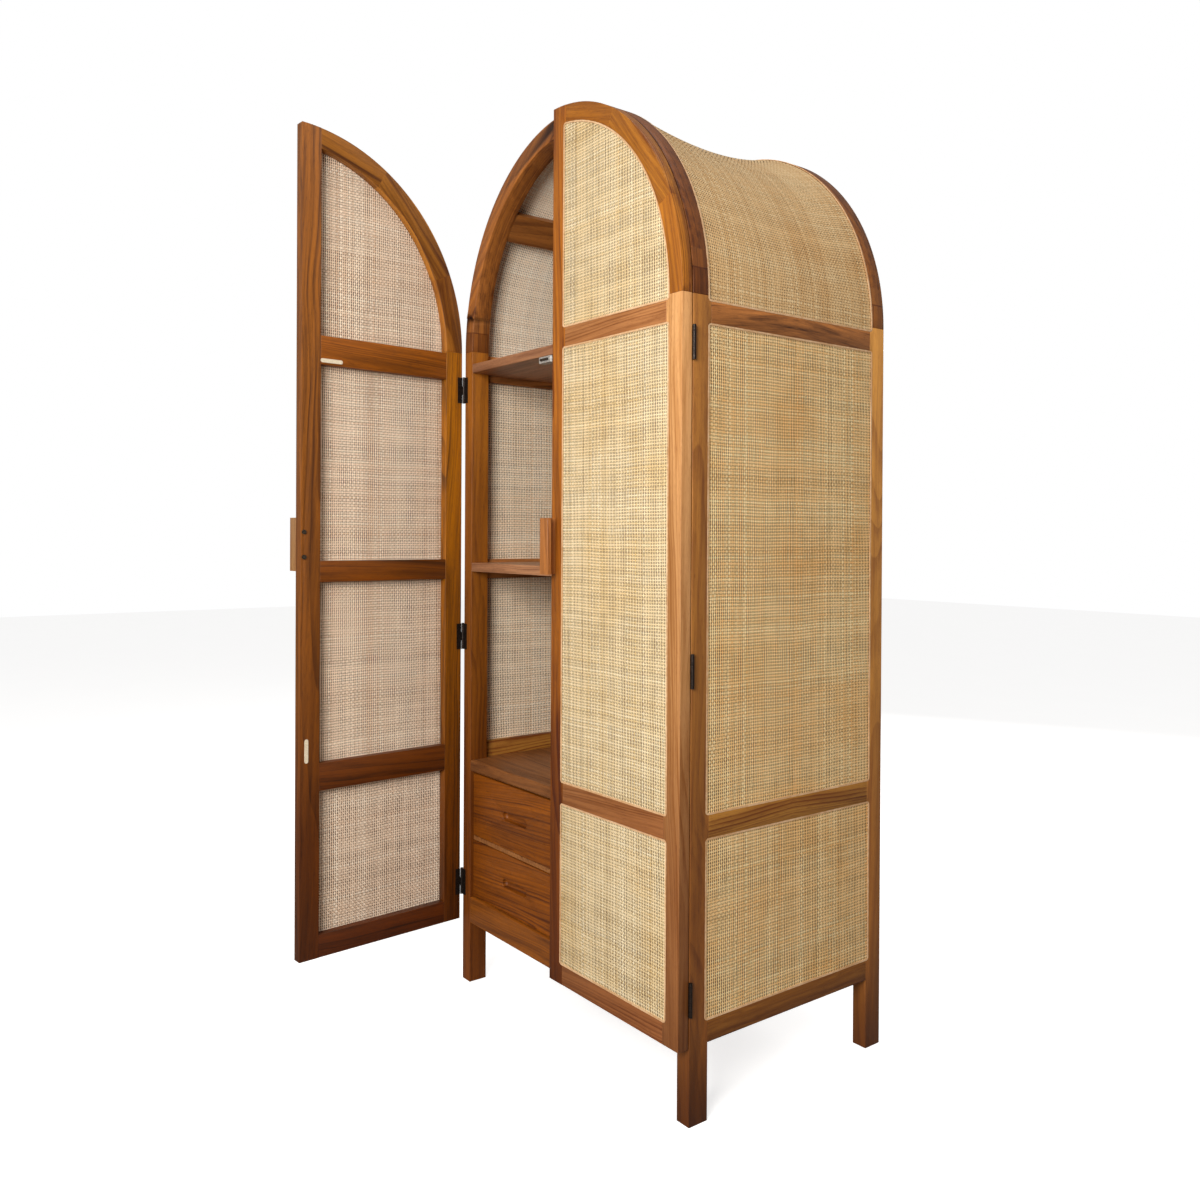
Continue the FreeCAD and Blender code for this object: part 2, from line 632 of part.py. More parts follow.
def strike_plate():
    """Round-ended steel plate on the door's inner face, opposite a catch's magnet."""
    middle, radius = -CATCH_HEIGHT / 2, STRIKE_WIDTH / 2
    end = STRIKE_LENGTH / 2 - radius
    y_span = (DOOR_BACK, DOOR_BACK + STRIKE_THICKNESS)
    plate = block((-end, end), y_span, (middle - radius, middle + radius))
    for x in (-end, end):
        foot = Vector(x, DOOR_BACK, middle)
        plate = plate.fuse(Part.makeCylinder(radius, STRIKE_THICKNESS, foot, INWARD))
    return plate.removeSplitter()


def right_door():
    """Every piece that rides on the right-hand door, by name."""
    pieces = door_frame()
    pieces["cane"] = door_panels(0.0, SPLINE_THICKNESS, RECESS)
    outsides = door_panels(0.0, 0.0, SPLINE_THICKNESS)
    insides = door_panels(SPLINE_WIDTH, 0.0, SPLINE_THICKNESS)
    pieces["splines"] = [outside.cut(inside) for outside, inside in zip(outsides, insides)]
    pieces["handle"] = [handle()]
    pieces["handle_screws"] = [handle_screw(foot) for foot in handle_screw_axes()]
    pieces["strike_plates"] = [upper_place(strike_plate()), lower_place(strike_plate())]
    leaf_span = (DOOR_BACK, DOOR_BACK + HINGE_LEAF_THICKNESS)
    pieces["hinge_leaves"] = [hinge_leaf(centre, leaf_span, 1) for centre in HINGE_HEIGHTS]
    return pieces


def swung_open(shape):
    """A shut left-hand door piece, turned about its hinges to the angle at which it stands."""
    turned = shape.copy()
    turned.rotate(Vector(-HINGE_X, HINGE_Y, 0), UPWARD, -LEFT_DOOR_ANGLE)
    return turned


def case_nodes():
    """Every fixed piece of the cabinet, by node name."""
    nodes = {}
    frames = {"front": (FRONT, BAY_FRONT), "back": (BAY_BACK, BACK)}
    for name, y_span in frames.items():
        nodes[name + "_right_post"] = [post(y_span)]
        nodes[name + "_left_post"] = [mirrored(post(y_span))]
        nodes[name + "_arch"] = case_arch(y_span)

    side_spans = {
        "bottom_rails": BOTTOM_RAIL,
        "lower_rails": LOWER_RAIL,
        "middle_battens": BATTEN,
        "upper_rails": UPPER_RAIL,
    }
    for name, span in side_spans.items():
        nodes["side_" + name] = both_sides([side_rail(span)])

    back_spans = {"bottom": (LEG_HEIGHT, FRONT_RAIL_TOP), "lower": LOWER_RAIL, "upper": UPPER_RAIL}
    back_rails = {name: back_rail(span) for name, span in back_spans.items()}
    for name, rail in back_rails.items():
        nodes["back_" + name + "_rail"] = [rail]
    front_rail = block((-POST_INNER, POST_INNER), (FRONT, FRONT + FRONT_RAIL_THICKNESS), back_spans["bottom"])
    nodes["front_bottom_rail"] = [front_rail]
    panel_y = (BACK_PANEL_FRONT, BACK)
    nodes["back_panel"] = [
        headed_block(POST_INNER + BACK_PANEL_LAP, INNER_RISE + BACK_PANEL_LAP, LEG_HEIGHT, panel_y)
    ]

    sheets = [side_sheet(span) for span in (LOWER_PANEL, MIDDLE_PANEL)]
    nodes["right_side_cane"] = sheets
    nodes["left_side_cane"] = [mirrored(sheet) for sheet in sheets]
    nodes["side_splines"] = both_sides([side_spline(span) for span in (LOWER_PANEL, MIDDLE_PANEL)])
    nodes["roof_cane"] = [roof_sheet()]
    nodes["roof_splines"] = roof_splines()
    nodes["roof_purlins"] = both_sides([purlin()])

    upper_span = (UPPER_SHELF_LOW, UPPER_SHELF_LOW + SHELF_THICKNESS)
    middle_span = (MIDDLE_SHELF_HEIGHT, MIDDLE_SHELF_HEIGHT + SHELF_THICKNESS)
    nodes["upper_shelf"] = [shelf(upper_span, BACK_RAIL_FRONT, SHELF_NOSE_RADIUS)]
    nodes["middle_shelf"] = [shelf(middle_span, BACK_PANEL_FRONT, SHELF_NOSE_RADIUS)]
    nodes["drawer_board"] = [shelf((BOARD_LOW, BOARD_TOP), BACK_RAIL_FRONT, DRAWER_BOARD_NOSE_RADIUS)]
    nodes["centre_partition"] = [partition((BOARD_TOP, MIDDLE_SHELF_HEIGHT), [back_rails["lower"]])]
    crossing = [front_rail, back_rails["bottom"], back_rails["lower"]]
    nodes["drawer_partition"] = [partition((LEG_HEIGHT, BOARD_LOW), crossing)]
    nodes["drawer_divider_rails"] = both_sides([divider_rail()])
    nodes["drawer_runners"] = both_sides([strip for row in DRAWER_ROWS for strip in runners(row[1])])

    catches = [[place(piece) for piece in catch_pieces()] for place in (upper_place, lower_place)]
    nodes["catch_housings"] = both_sides([housing for housing, magnet in catches])
    nodes["catch_magnets"] = both_sides([magnet for housing, magnet in catches])
    leaf_span = (FRONT - HINGE_LEAF_THICKNESS, FRONT)
    nodes["case_hinge_leaves"] = both_sides([hinge_leaf(centre, leaf_span, 0) for centre in HINGE_HEIGHTS])
    nodes["hinge_pins"] = both_sides([hinge_pin(centre) for centre in HINGE_HEIGHTS])
    return nodes


def moving_nodes():
    """Every piece of the doors and drawers, by node name."""
    nodes = {}
    for name, pieces in right_door().items():
        nodes["right_door_" + name] = pieces
        nodes["left_door_" + name] = [swung_open(mirrored(piece)) for piece in pieces]
    for row, low, top in DRAWER_ROWS:
        front, box = [drawer_front(low, top)], drawer_box(low, top)
        for side, turned in (("right", list), ("left", lambda shapes: [mirrored(shape) for shape in shapes])):
            nodes[side + "_" + row + "_drawer_front"] = turned(front)
            nodes[side + "_" + row + "_drawer_box"] = turned(box)
    return nodes


def main():
    """Write every node as one STEP file."""
    os.makedirs("parts", exist_ok=True)
    nodes = {**case_nodes(), **moving_nodes()}
    for name, pieces in nodes.items():
        shape = pieces[0] if len(pieces) == 1 else Part.makeCompound(pieces)
        shape.exportStep("parts/" + name + ".step")
        print(name, len(shape.Solids), "valid" if shape.isValid() else "NOT VALID", round(shape.Volume))
    print(len(nodes), "nodes")


main()
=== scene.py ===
# %% [markdown]
# # An arched teak cabinet with woven cane panels
#
# This notebook dresses a cabinet that was first built as exact solids. The solids are the frame:
# posts, arches, doors and drawers all stand where they belong. Here they get their looks, which are
# oiled teak with a different figure on each board, and cane that is really woven, strand by strand.
# Every length is in metres. The origin is on the floor under the middle of the cabinet, +X is to the
# right as one faces the doors, +Y goes to the back and +Z goes up.

# %% Load the frame
import math

import bmesh
import bpy
import numpy as np
from mathutils import Matrix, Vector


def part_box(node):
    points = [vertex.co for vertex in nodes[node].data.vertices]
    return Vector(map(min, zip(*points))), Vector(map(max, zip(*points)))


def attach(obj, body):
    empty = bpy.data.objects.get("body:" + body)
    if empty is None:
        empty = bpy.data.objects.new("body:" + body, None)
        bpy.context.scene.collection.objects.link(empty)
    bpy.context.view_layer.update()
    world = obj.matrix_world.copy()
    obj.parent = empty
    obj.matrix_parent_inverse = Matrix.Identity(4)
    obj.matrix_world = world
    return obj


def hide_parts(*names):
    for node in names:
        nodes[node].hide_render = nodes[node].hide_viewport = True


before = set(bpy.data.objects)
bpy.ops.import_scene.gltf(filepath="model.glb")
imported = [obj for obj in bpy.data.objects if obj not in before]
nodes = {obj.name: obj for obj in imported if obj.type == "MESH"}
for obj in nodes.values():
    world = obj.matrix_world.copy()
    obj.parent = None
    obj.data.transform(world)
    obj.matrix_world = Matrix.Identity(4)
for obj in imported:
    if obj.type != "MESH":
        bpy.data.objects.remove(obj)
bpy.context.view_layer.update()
print(len(nodes), "solids of the cabinet are loaded")

# %% [markdown]
# ## The viewing angle
#
# The cabinet is seen from the right and a little above hip height, close enough that the open door on
# the left looks clearly smaller than the shut one. A camera is a place, a turn and a focal length. It
# could be aimed by eye, but here its three own directions are written out, because a view that is
# turned by three small angles is easier to keep exact as vectors than as a chain of rotations. The
# picture is square, so the lens is its focal length in pixels, put over 1200 pixels and 36 mm.

# %% Camera
PICTURE = 1200.0
SENSOR = 36.0
FOCAL_PIXELS = 1057.5
MIDDLE = (622.98, 542.36)
EYE = np.array([1.8943, -1.5867, 1.1032])
YAW, PITCH, ROLL = np.radians([52.03, -0.33, 0.31])


def view_directions(yaw, pitch, roll):
    """Right, up and forward of the view. Forward is +Y turned by yaw to the left and raised by pitch;
    right and up are then turned round it by roll."""
    level = np.array([-math.sin(yaw), math.cos(yaw), 0.0])
    side = np.array([math.cos(yaw), math.sin(yaw), 0.0])
    upward = np.array([0.0, 0.0, 1.0])
    forward = level * math.cos(pitch) + upward * math.sin(pitch)
    above = -level * math.sin(pitch) + upward * math.cos(pitch)
    right = side * math.cos(roll) + above * math.sin(roll)
    up = -side * math.sin(roll) + above * math.cos(roll)
    return right, up, forward


def facing(right, up, back, place):
    """The matrix of a camera or lamp at place, from its own right, up and backward directions."""
    turn = np.eye(4)
    turn[:3, 0], turn[:3, 1], turn[:3, 2], turn[:3, 3] = right, up, back, place
    return Matrix(turn.tolist())


RIGHT, UP, FORWARD = view_directions(YAW, PITCH, ROLL)
lens = bpy.data.cameras.new("studio_camera")
lens.sensor_fit = "HORIZONTAL"
lens.sensor_width = SENSOR
lens.lens = FOCAL_PIXELS / PICTURE * SENSOR
lens.shift_x = (PICTURE / 2 - MIDDLE[0]) / PICTURE
lens.shift_y = (MIDDLE[1] - PICTURE / 2) / PICTURE
lens.clip_start, lens.clip_end = 0.05, 60.0
camera = bpy.data.objects.new("studio_camera", lens)
bpy.context.scene.collection.objects.link(camera)
camera.matrix_world = facing(RIGHT, UP, -FORWARD, EYE)
bpy.context.scene.camera = camera
print("lens", round(lens.lens, 2), "mm, shift", round(lens.shift_x, 4), round(lens.shift_y, 4))

# %% [markdown]
# ## Colours and small tools
#
# Wood colours are easiest to name as they look on a screen, but shaders work with the amount of light,
# so each colour is turned from screen values into light once, here. The other tools put a grid of
# points into a mesh and wire two shader nodes together, which every later step needs.

# %% Helpers
def colour(text):
    """The light values of a screen colour such as C8812F: each part over 255, then by the screen's
    curve."""
    parts = np.array([int(text[i:i + 2], 16) for i in (0, 2, 4)]) / 255.0
    light = np.where(parts <= 0.04045, parts / 12.92, ((parts + 0.055) / 1.055) ** 2.4)
    return (*light.tolist(), 1.0)


def node(tree, kind, sockets=None, **settings):
    """One shader node with its settings and its input sockets. A socket given another node's output is
    linked to it, and any other value is set."""
    made = tree.nodes.new("ShaderNode" + kind)
    for name, value in settings.items():
        setattr(made, name, value)
    for name, value in (sockets or {}).items():
        if isinstance(value, bpy.types.NodeSocket):
            tree.links.new(value, made.inputs[name])
        else:
            made.inputs[name].default_value = value
    return made


def maths(tree, operation, *values):
    """The output of a Math node for these values or outputs."""
    return node(tree, "Math", dict(enumerate(values)), operation=operation).outputs[0]


def product(tree, first, second):
    """Two values multiplied."""
    return maths(tree, "MULTIPLY", first, second)


def blended(tree, amount, first, second, how="MIX"):
    """Two colours mixed by amount, through a Mix node whose colour inputs have the indices 6 and 7."""
    sockets = {0: amount, 6: first, 7: second}
    return node(tree, "Mix", sockets, data_type="RGBA", blend_type=how).outputs[2]


def spread(tree, value, low, high, to_low=0.0, to_high=1.0):
    """A value's range from low to high, stretched smoothly to another range."""
    sockets = {"Value": value, "From Min": low, "From Max": high, "To Min": to_low, "To Max": to_high}
    return node(tree, "MapRange", sockets, interpolation_type="SMOOTHSTEP").outputs[0]


def new_group(name, inputs, outputs):
    """An empty node group. inputs and outputs are lists of (socket name, kind, standard value)."""
    tree = bpy.data.node_groups.new(name, "ShaderNodeTree")
    for socket, kind, standard in inputs:
        made = tree.interface.new_socket(name=socket, in_out="INPUT", socket_type="NodeSocket" + kind)
        if standard is not None:
            made.default_value = standard
    for socket, kind in outputs:
        tree.interface.new_socket(name=socket, in_out="OUTPUT", socket_type="NodeSocket" + kind)
    return tree, tree.nodes.new("NodeGroupInput").outputs, tree.nodes.new("NodeGroupOutput").inputs


def new_material(name):
    """A material with only a Principled shader wired to its output."""
    made = bpy.data.materials.new(name)
    made.use_nodes = True
    return made, made.node_tree, made.node_tree.nodes["Principled BSDF"]


def new_piece(name, mesh):
    """An object with this mesh, in the scene, at the origin."""
    piece = bpy.data.objects.new(name, mesh)
    bpy.context.scene.collection.objects.link(piece)
    return piece


# %% [markdown]
# ## The figure of teak
#
# A board is cut out of a log, so its figure is a section through growth rings. The group builds that
# log: distance from the heart gives rings, a slow noise lets them wander, and where a board's face
# runs nearly along a ring the pattern opens into the arches that carpenters call cathedrals. Finer
# noises, stretched along the grain, are the streaks and the open pores. Real solid texture is used
# rather than a flat picture, so the end grain and the edges of a board agree with its face.

# %% Teak figure group
teak, given, result = new_group(
    "teak figure",
    [("Vector", "Vector", None),
     ("Light", "Color", colour("C8843C")), ("Dark", "Color", colour("7A431C")),
     ("Seed", "Float", 0.0), ("Rings", "Float", 0.5), ("Ring Width", "Float", 0.007),
     ("Streaks", "Float", 0.5)],
    [("Color", "Color"), ("Roughness", "Float"), ("Height", "Float")])


def stretched_noise(tree, vector, seed, scale, detail=3.0, roughness=0.5):
    """Noise on coordinates multiplied by scale, so that a small last number draws it out along Z."""
    moved = node(tree, "VectorMath", {0: vector, 1: scale}, operation="MULTIPLY").outputs[0]
    sockets = {"Vector": moved, "W": seed, "Scale": 1.0, "Detail": detail, "Roughness": roughness}
    return node(tree, "TexNoise", sockets, noise_dimensions="4D").outputs["Fac"]


wander = stretched_noise(teak, given["Vector"], given["Seed"], (7.0, 7.0, 1.6), 2.0)
wander = product(teak, maths(teak, "SUBTRACT", wander, 0.5), 0.05)
shift = node(teak, "CombineXYZ", {"X": wander, "Y": wander}).outputs[0]
bent = node(teak, "VectorMath", {0: given["Vector"], 1: shift}, operation="ADD").outputs[0]
around = node(teak, "VectorMath", {0: bent, 1: (1.0, 1.0, 0.0)}, operation="MULTIPLY").outputs[0]
from_heart = node(teak, "VectorMath", {0: around}, operation="LENGTH").outputs["Value"]

years = maths(teak, "DIVIDE", from_heart, given["Ring Width"])
fast_years = node(teak, "TexNoise", {"W": years, "Scale": 0.22, "Detail": 1.0}, noise_dimensions="1D")
years = maths(teak, "ADD", years, product(teak, fast_years.outputs["Fac"], 3.0))
ring = maths(teak, "FRACT", years)
year = maths(teak, "ADD", maths(teak, "FLOOR", years), given["Seed"])
strength = node(teak, "TexWhiteNoise", {"W": year}, noise_dimensions="1D").outputs["Value"]
late_wood = product(teak, spread(teak, ring, 0.30, 0.95), spread(teak, ring, 1.0, 0.95))
late_wood = product(teak, late_wood, spread(teak, strength, 0.1, 1.0, 0.15, 1.0))

streaks = stretched_noise(teak, bent, given["Seed"], (95.0, 95.0, 1.8), 4.0, 0.6)
cloud = stretched_noise(teak, given["Vector"], given["Seed"], (9.0, 9.0, 1.3), 2.0)
fibre = stretched_noise(teak, bent, given["Seed"], (620.0, 620.0, 8.0), 2.0, 0.6)
pits = stretched_noise(teak, bent, given["Seed"], (1500.0, 1500.0, 45.0), 0.0)
pores = spread(teak, pits, 0.62, 0.72)

streak_part = product(teak, spread(teak, streaks, 0.36, 0.68), given["Streaks"])
ring_part = product(teak, late_wood, given["Rings"])
cloud_part = product(teak, spread(teak, cloud, 0.32, 0.7), 0.30)
fibre_part = product(teak, maths(teak, "SUBTRACT", fibre, 0.5), 0.45)
darkness = maths(teak, "ADD", maths(teak, "ADD", ring_part, streak_part), cloud_part)
held = node(teak, "Clamp", {"Value": maths(teak, "ADD", darkness, fibre_part)}).outputs[0]
timber = blended(teak, held, given["Light"], given["Dark"])
pore_shade = product(teak, pores, 0.35)
teak.links.new(blended(teak, pore_shade, timber, given["Dark"], "MULTIPLY"), result["Color"])
teak.links.new(maths(teak, "ADD", product(teak, fibre, 0.16), 0.38), result["Roughness"])
relief = maths(teak, "SUBTRACT", product(teak, fibre, 0.5), product(teak, pores, 0.7))
teak.links.new(maths(teak, "SUBTRACT", relief, product(teak, late_wood, 0.25)), result["Height"])
print("teak figure has", len(teak.nodes), "nodes")

# %% [markdown]
# ## One board after another
#
# No two boards of the cabinet look alike, so every wooden solid gets its own material: the same
# figure, but with its own heart position, colours and ring width. A Mapping node lays the log along
# the board. Its turn says which way the grain runs, and its shift says how far the heart of the tree
# was from this board: near gives cathedrals, far gives straight lines. A colour ramp over one
# coordinate can be multiplied over a board. On the posts, the side bottom and lower rails and the
# doors' stiles and rails it is painted shade, darker towards the floor.

# %% Wood materials
ALONG_Z, ALONG_X, ALONG_Y = (0.0, 0.0, 0.0), (0.0, 90.0, 0.0), (90.0, 0.0, 0.0)
LEFT_SWING = math.radians(-85.7)
HINGE = np.array([-0.4295, -0.27835])
seeds = iter(range(11, 400, 3))


def turned(x, y, angle):
    """Points turned round the left hinge line: the usual turn by an angle, about the hinge."""
    x, y = x - HINGE[0], y - HINGE[1]
    c, s = math.cos(angle), math.sin(angle)
    return HINGE[0] + c * x - s * y, HINGE[1] + s * x + c * y


def as_if_shut(tree, place):
    """Object coordinates of the open left door, turned back round the hinge to where it is shut."""
    x, y = turned(0.0, 0.0, -LEFT_SWING)
    sockets = {"Vector": place, "Rotation": (0.0, 0.0, -LEFT_SWING), "Location": (x, y, 0.0)}
    return node(tree, "Mapping", sockets).outputs[0]


def tone_ramp(tree, value, stops, interpolation="EASE"):
    """A colour over a value: stops are (value, screen colour), and the colour changes between them."""
    low, high = stops[0][0], stops[-1][0]
    where = node(tree, "MapRange", {"Value": value, "From Min": low, "From Max": high}).outputs[0]
    ramp = node(tree, "ValToRGB", {"Fac": where})
    ramp.color_ramp.interpolation = interpolation
    entries = ramp.color_ramp.elements
    entries[0].color, entries[1].color = colour(stops[0][1]), colour(stops[-1][1])
    for at, shade in stops[1:-1]:
        entries.new((at - low) / (high - low)).color = colour(shade)
    return ramp.outputs["Color"]


def finish_wood(tree, shader, vector, light, dark, rings, ring_width, streaks, overlays):
    """Wires the teak figure at vector to the shader. Each overlay colour is multiplied over it."""
    sockets = {"Vector": vector, "Light": colour(light), "Dark": colour(dark),
               "Seed": float(next(seeds)), "Rings": rings, "Ring Width": ring_width, "Streaks": streaks}
    figure = node(tree, "Group", sockets, node_tree=teak)
    shade = figure.outputs["Color"]
    for overlay in overlays:
        shade = blended(tree, 1.0, shade, overlay, "MULTIPLY")
    tree.links.new(shade, shader.inputs["Base Color"])
    tree.links.new(figure.outputs["Roughness"], shader.inputs["Roughness"])
    bump = node(tree, "Bump", {"Height": figure.outputs["Height"], "Strength": 0.35, "Distance": 0.0006})
    tree.links.new(bump.outputs[0], shader.inputs["Normal"])
    shader.inputs["Specular IOR Level"].default_value = 0.35


def dress(material, *names):
    """The material goes on every slot of these solids."""
    for name in names:
        for place in nodes[name].material_slots:
            place.material = material


def wood(names, along, light, dark, heart=(0.08, 0.05), lean=(1.5, 2.5), rings=0.45, ring_width=0.007,
         streaks=0.5, tones=None, tone_axis="Z", paired=False):
    """Teak for some solids. Their coordinates are taken from their middle, turned so that the grain
    runs along Z, leaned by a few degrees as no board is cut quite along the log, and moved so that
    the log's heart is at heart. Paired solids stand left and right and share one figure."""
    names = names.split()
    made, tree, shader = new_material(names[0] + "_teak")
    place = node(tree, "TexCoord").outputs["Object"]
    low, high = (np.array(corner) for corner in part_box(names[0]))
    middle = (low + high) / 2
    if names[0].startswith("left_door"):
        place = as_if_shut(tree, place)
        middle[:2] = turned(middle[0], middle[1], -LEFT_SWING)
    start = place
    if paired:
        start = node(tree, "VectorMath", {0: place}, operation="ABSOLUTE").outputs[0]
        middle[0] = high[0]
    start = node(tree, "VectorMath", {0: start, 1: middle.tolist()}, operation="SUBTRACT").outputs[0]
    laid = node(tree, "Mapping", {"Vector": start, "Rotation": np.radians(along).tolist()}).outputs[0]
    tilt = (*np.radians(lean).tolist(), 0.0)
    cut = node(tree, "Mapping", {"Vector": laid, "Rotation": tilt, "Location": (*heart, 0.0)}).outputs[0]
    overlays = []
    # tones: a colour ramp multiplied over the figure; every board here gets painted shade from it.
    if tones:
        axis = node(tree, "SeparateXYZ", {"Vector": place}).outputs[tone_axis]
        overlays.append(tone_ramp(tree, axis, tones))
    finish_wood(tree, shader, cut, light, dark, rings, ring_width, streaks, overlays)
    dress(made, *names)


# %% Case timber
# Painted shade: these ramps make the wood darker towards the floor, as if less light reached it there.
PAINTED_SHADE_TO_FLOOR = ((0.0, "866C56"), (0.35, "B09C8C"), (0.9, "DCD6D0"), (1.5, "FFFFFF"))
PAINTED_SHADE_DOWN_POST = ((0.0, "7A6250"), (0.30, "C0AE9E"), (0.9, "DCD6D0"), (1.5, "EAE6E2"))
# The left front post's own ramp is painted shade as well, darkest a little above the floor.
wood("front_left_post", ALONG_Z, "A9651B", "6F3B0C", heart=(0.10, 0.06),
     tones=((0.0, "CCB69C"), (0.35, "B8A490"), (0.9, "DCD6D0"), (1.5, "FFFFFF")))
wood("front_right_post", ALONG_Z, "CD8B3F", "955C2B", heart=(0.12, 0.03), tones=PAINTED_SHADE_DOWN_POST)
wood("back_left_post back_right_post", ALONG_Z, "F3AE56", "B4773E", tones=PAINTED_SHADE_DOWN_POST)
wood("side_bottom_rails side_lower_rails", ALONG_Y, "F3B756", "96561F", heart=(0.03, 0.02), rings=0.6,
     paired=True, tones=PAINTED_SHADE_TO_FLOOR)
wood("side_upper_rails", ALONG_Y, "C57C3E", "230707", heart=(0.02, 0.012), rings=1.0, ring_width=0.009,
     paired=True, lean=(4.0, 3.0))
wood("side_middle_battens", ALONG_Y, "B0713A", "6E3F1E", paired=True)
wood("front_bottom_rail", ALONG_X, "9C5713", "3D1907")
wood("back_bottom_rail back_lower_rail back_upper_rail", ALONG_X, "A86C38", "6E401F")
wood("back_panel", ALONG_Z, "B67B44", "845029", heart=(0.1, 0.05), rings=0.35, ring_width=0.013)
wood("roof_purlins", ALONG_Y, "A8682F", "5E3417", heart=(0.03, 0.04), paired=True)
wood("upper_shelf middle_shelf", ALONG_X, "B9845D", "6A3E29", heart=(0.03, 0.12))
wood("drawer_board", ALONG_X, "9A6030", "4A2610", heart=(0.03, 0.12))
wood("centre_partition drawer_partition", ALONG_Z, "A96E3A", "6E4120", heart=(0.03, 0.10))
wood("drawer_divider_rails drawer_runners", ALONG_Y, "A36A38", "6C4020")
print(len(bpy.data.materials), "materials so far")

# %% Door and drawer timber
wood("right_door_meeting_stile", ALONG_Z, "B56B1B", "612907", heart=(0.02, 0.05), tones=PAINTED_SHADE_TO_FLOOR)
wood("right_door_hinge_stile", ALONG_Z, "E4AA6E", "B07236", heart=(0.12, 0.04), tones=PAINTED_SHADE_TO_FLOOR)
# The right door's rails have their own painted shade ramp, darker towards the floor.
wood("right_door_rails", ALONG_X, "DD9C61", "975B2C", heart=(0.05, 0.03), rings=0.6,
     tones=((0.0, "A89080"), (0.35, "B8A698"), (0.9, "D8D0C8"), (1.5, "DCD4CC")))
wood("left_door_meeting_stile", ALONG_Z, "A7631F", "5C3314", heart=(0.05, 0.08), tones=PAINTED_SHADE_TO_FLOOR)
wood("left_door_hinge_stile", ALONG_Z, "B76E07", "542D07", heart=(0.09, 0.02), tones=PAINTED_SHADE_TO_FLOOR)
wood("left_door_rails", ALONG_X, "9E5610", "492507", heart=(0.06, 0.03), tones=PAINTED_SHADE_TO_FLOOR)
wood("right_door_handle", ALONG_Z, "B8743A", "7C4820")
wood("left_door_handle", ALONG_Z, "B98A58", "875832")
for side in ("left", "right"):
    for row in ("upper", "lower"):
        name = side + "_" + row + "_drawer_"
        wood(name + "front", ALONG_X, "985107", "532607", heart=(0.07, 0.012), lean=(1.5, 4.0),
             rings=0.7)
        wood(name + "box", ALONG_Y, "B98A55", "8C6238")
print(len(bpy.data.materials), "materials so far")

# %% [markdown]
# ## Arches
#
# A curved piece can't be cut from one straight board, because the grain would run out at its ends and
# break. So each arch is glued up from stretches, with straight grain along each stretch and a tone of
# its own. The stretches are found from the angle on the ellipse. One rotation for each turns the
# board's grain along its chord, and a fine dark line is drawn at each glue joint.

# %% Arch timber
SPRING = 1.556
ARCH = (0.425, 0.464)
SEAM_HALF = 0.07            # degrees round the ellipse
ARCH_RING_WIDTH = 0.008
ARCH_HEART = (-0.40, 0.03)
NEXT_SIDE, NEXT_BOARD = 0.31, 0.47      # how far along the log another board is cut


def arch_wood(name, light, dark, joints, shades, seam, tones=None, rings=0.5):
    """Teak for an arch. joints are the ellipse angles in degrees where one stretch ends and the next
    begins, shades are the stretches' tones and seam is that of the glue line between them. The grain
    of a stretch is turned to the ellipse's tangent at its middle: the angle from upright whose tangent
    is a sin t over b cos t. tones change the whole arch from left to right."""
    made, tree, shader = new_material(name + "_teak")
    place = node(tree, "TexCoord").outputs["Object"]
    if name.startswith("left_door"):
        place = as_if_shut(tree, place)
    axes = node(tree, "SeparateXYZ", {"Vector": place}).outputs
    aside = maths(tree, "ABSOLUTE", axes["X"])
    over = maths(tree, "SUBTRACT", axes["Z"], SPRING)
    on_circle = (maths(tree, "DIVIDE", over, ARCH[1]), maths(tree, "DIVIDE", aside, ARCH[0]))
    angle = maths(tree, "DEGREES", maths(tree, "ARCTAN2", *on_circle))
    limits = [0.0, *joints, 90.0]
    middles = np.radians([(a + b) / 2 for a, b in zip(limits, limits[1:])])
    turns = np.arctan2(ARCH[0] * np.sin(middles), ARCH[1] * np.cos(middles))
    lie, other_board = float(turns[0]), product(tree, maths(tree, "SIGN", axes["X"]), NEXT_SIDE)
    for joint, step in zip(joints, np.diff(turns)):
        past = maths(tree, "GREATER_THAN", angle, joint)
        lie = maths(tree, "ADD", product(tree, past, float(step)), lie)
        other_board = maths(tree, "ADD", product(tree, past, NEXT_BOARD), other_board)
    flat = node(tree, "CombineXYZ", {"X": aside, "Y": axes["Y"], "Z": over}).outputs[0]
    turn_by = {"Vector": flat, "Angle": lie}
    laid = node(tree, "VectorRotate", turn_by, rotation_type="Y_AXIS").outputs[0]
    from_heart = {"X": ARCH_HEART[0], "Y": ARCH_HEART[1], "Z": other_board}
    moved = node(tree, "CombineXYZ", from_heart).outputs[0]
    along = node(tree, "VectorMath", {0: laid, 1: moved}, operation="ADD").outputs[0]
    stops = [(0.0, shades[0])]
    for joint, shade in zip(joints, shades[1:]):
        stops += [(joint - SEAM_HALF, seam), (joint + SEAM_HALF, shade)]
    overlays = [tone_ramp(tree, angle, stops + [(90.0, shades[-1])], "CONSTANT")]
    # tones: a ramp over X multiplied over the arch; on the front arch it is painted shade.
    if tones:
        overlays.append(tone_ramp(tree, axes["X"], tones))
    finish_wood(tree, shader, along, light, dark, rings, ARCH_RING_WIDTH, 0.5, overlays)
    dress(made, name)


CASE_JOINTS = (6.0, 10.7)
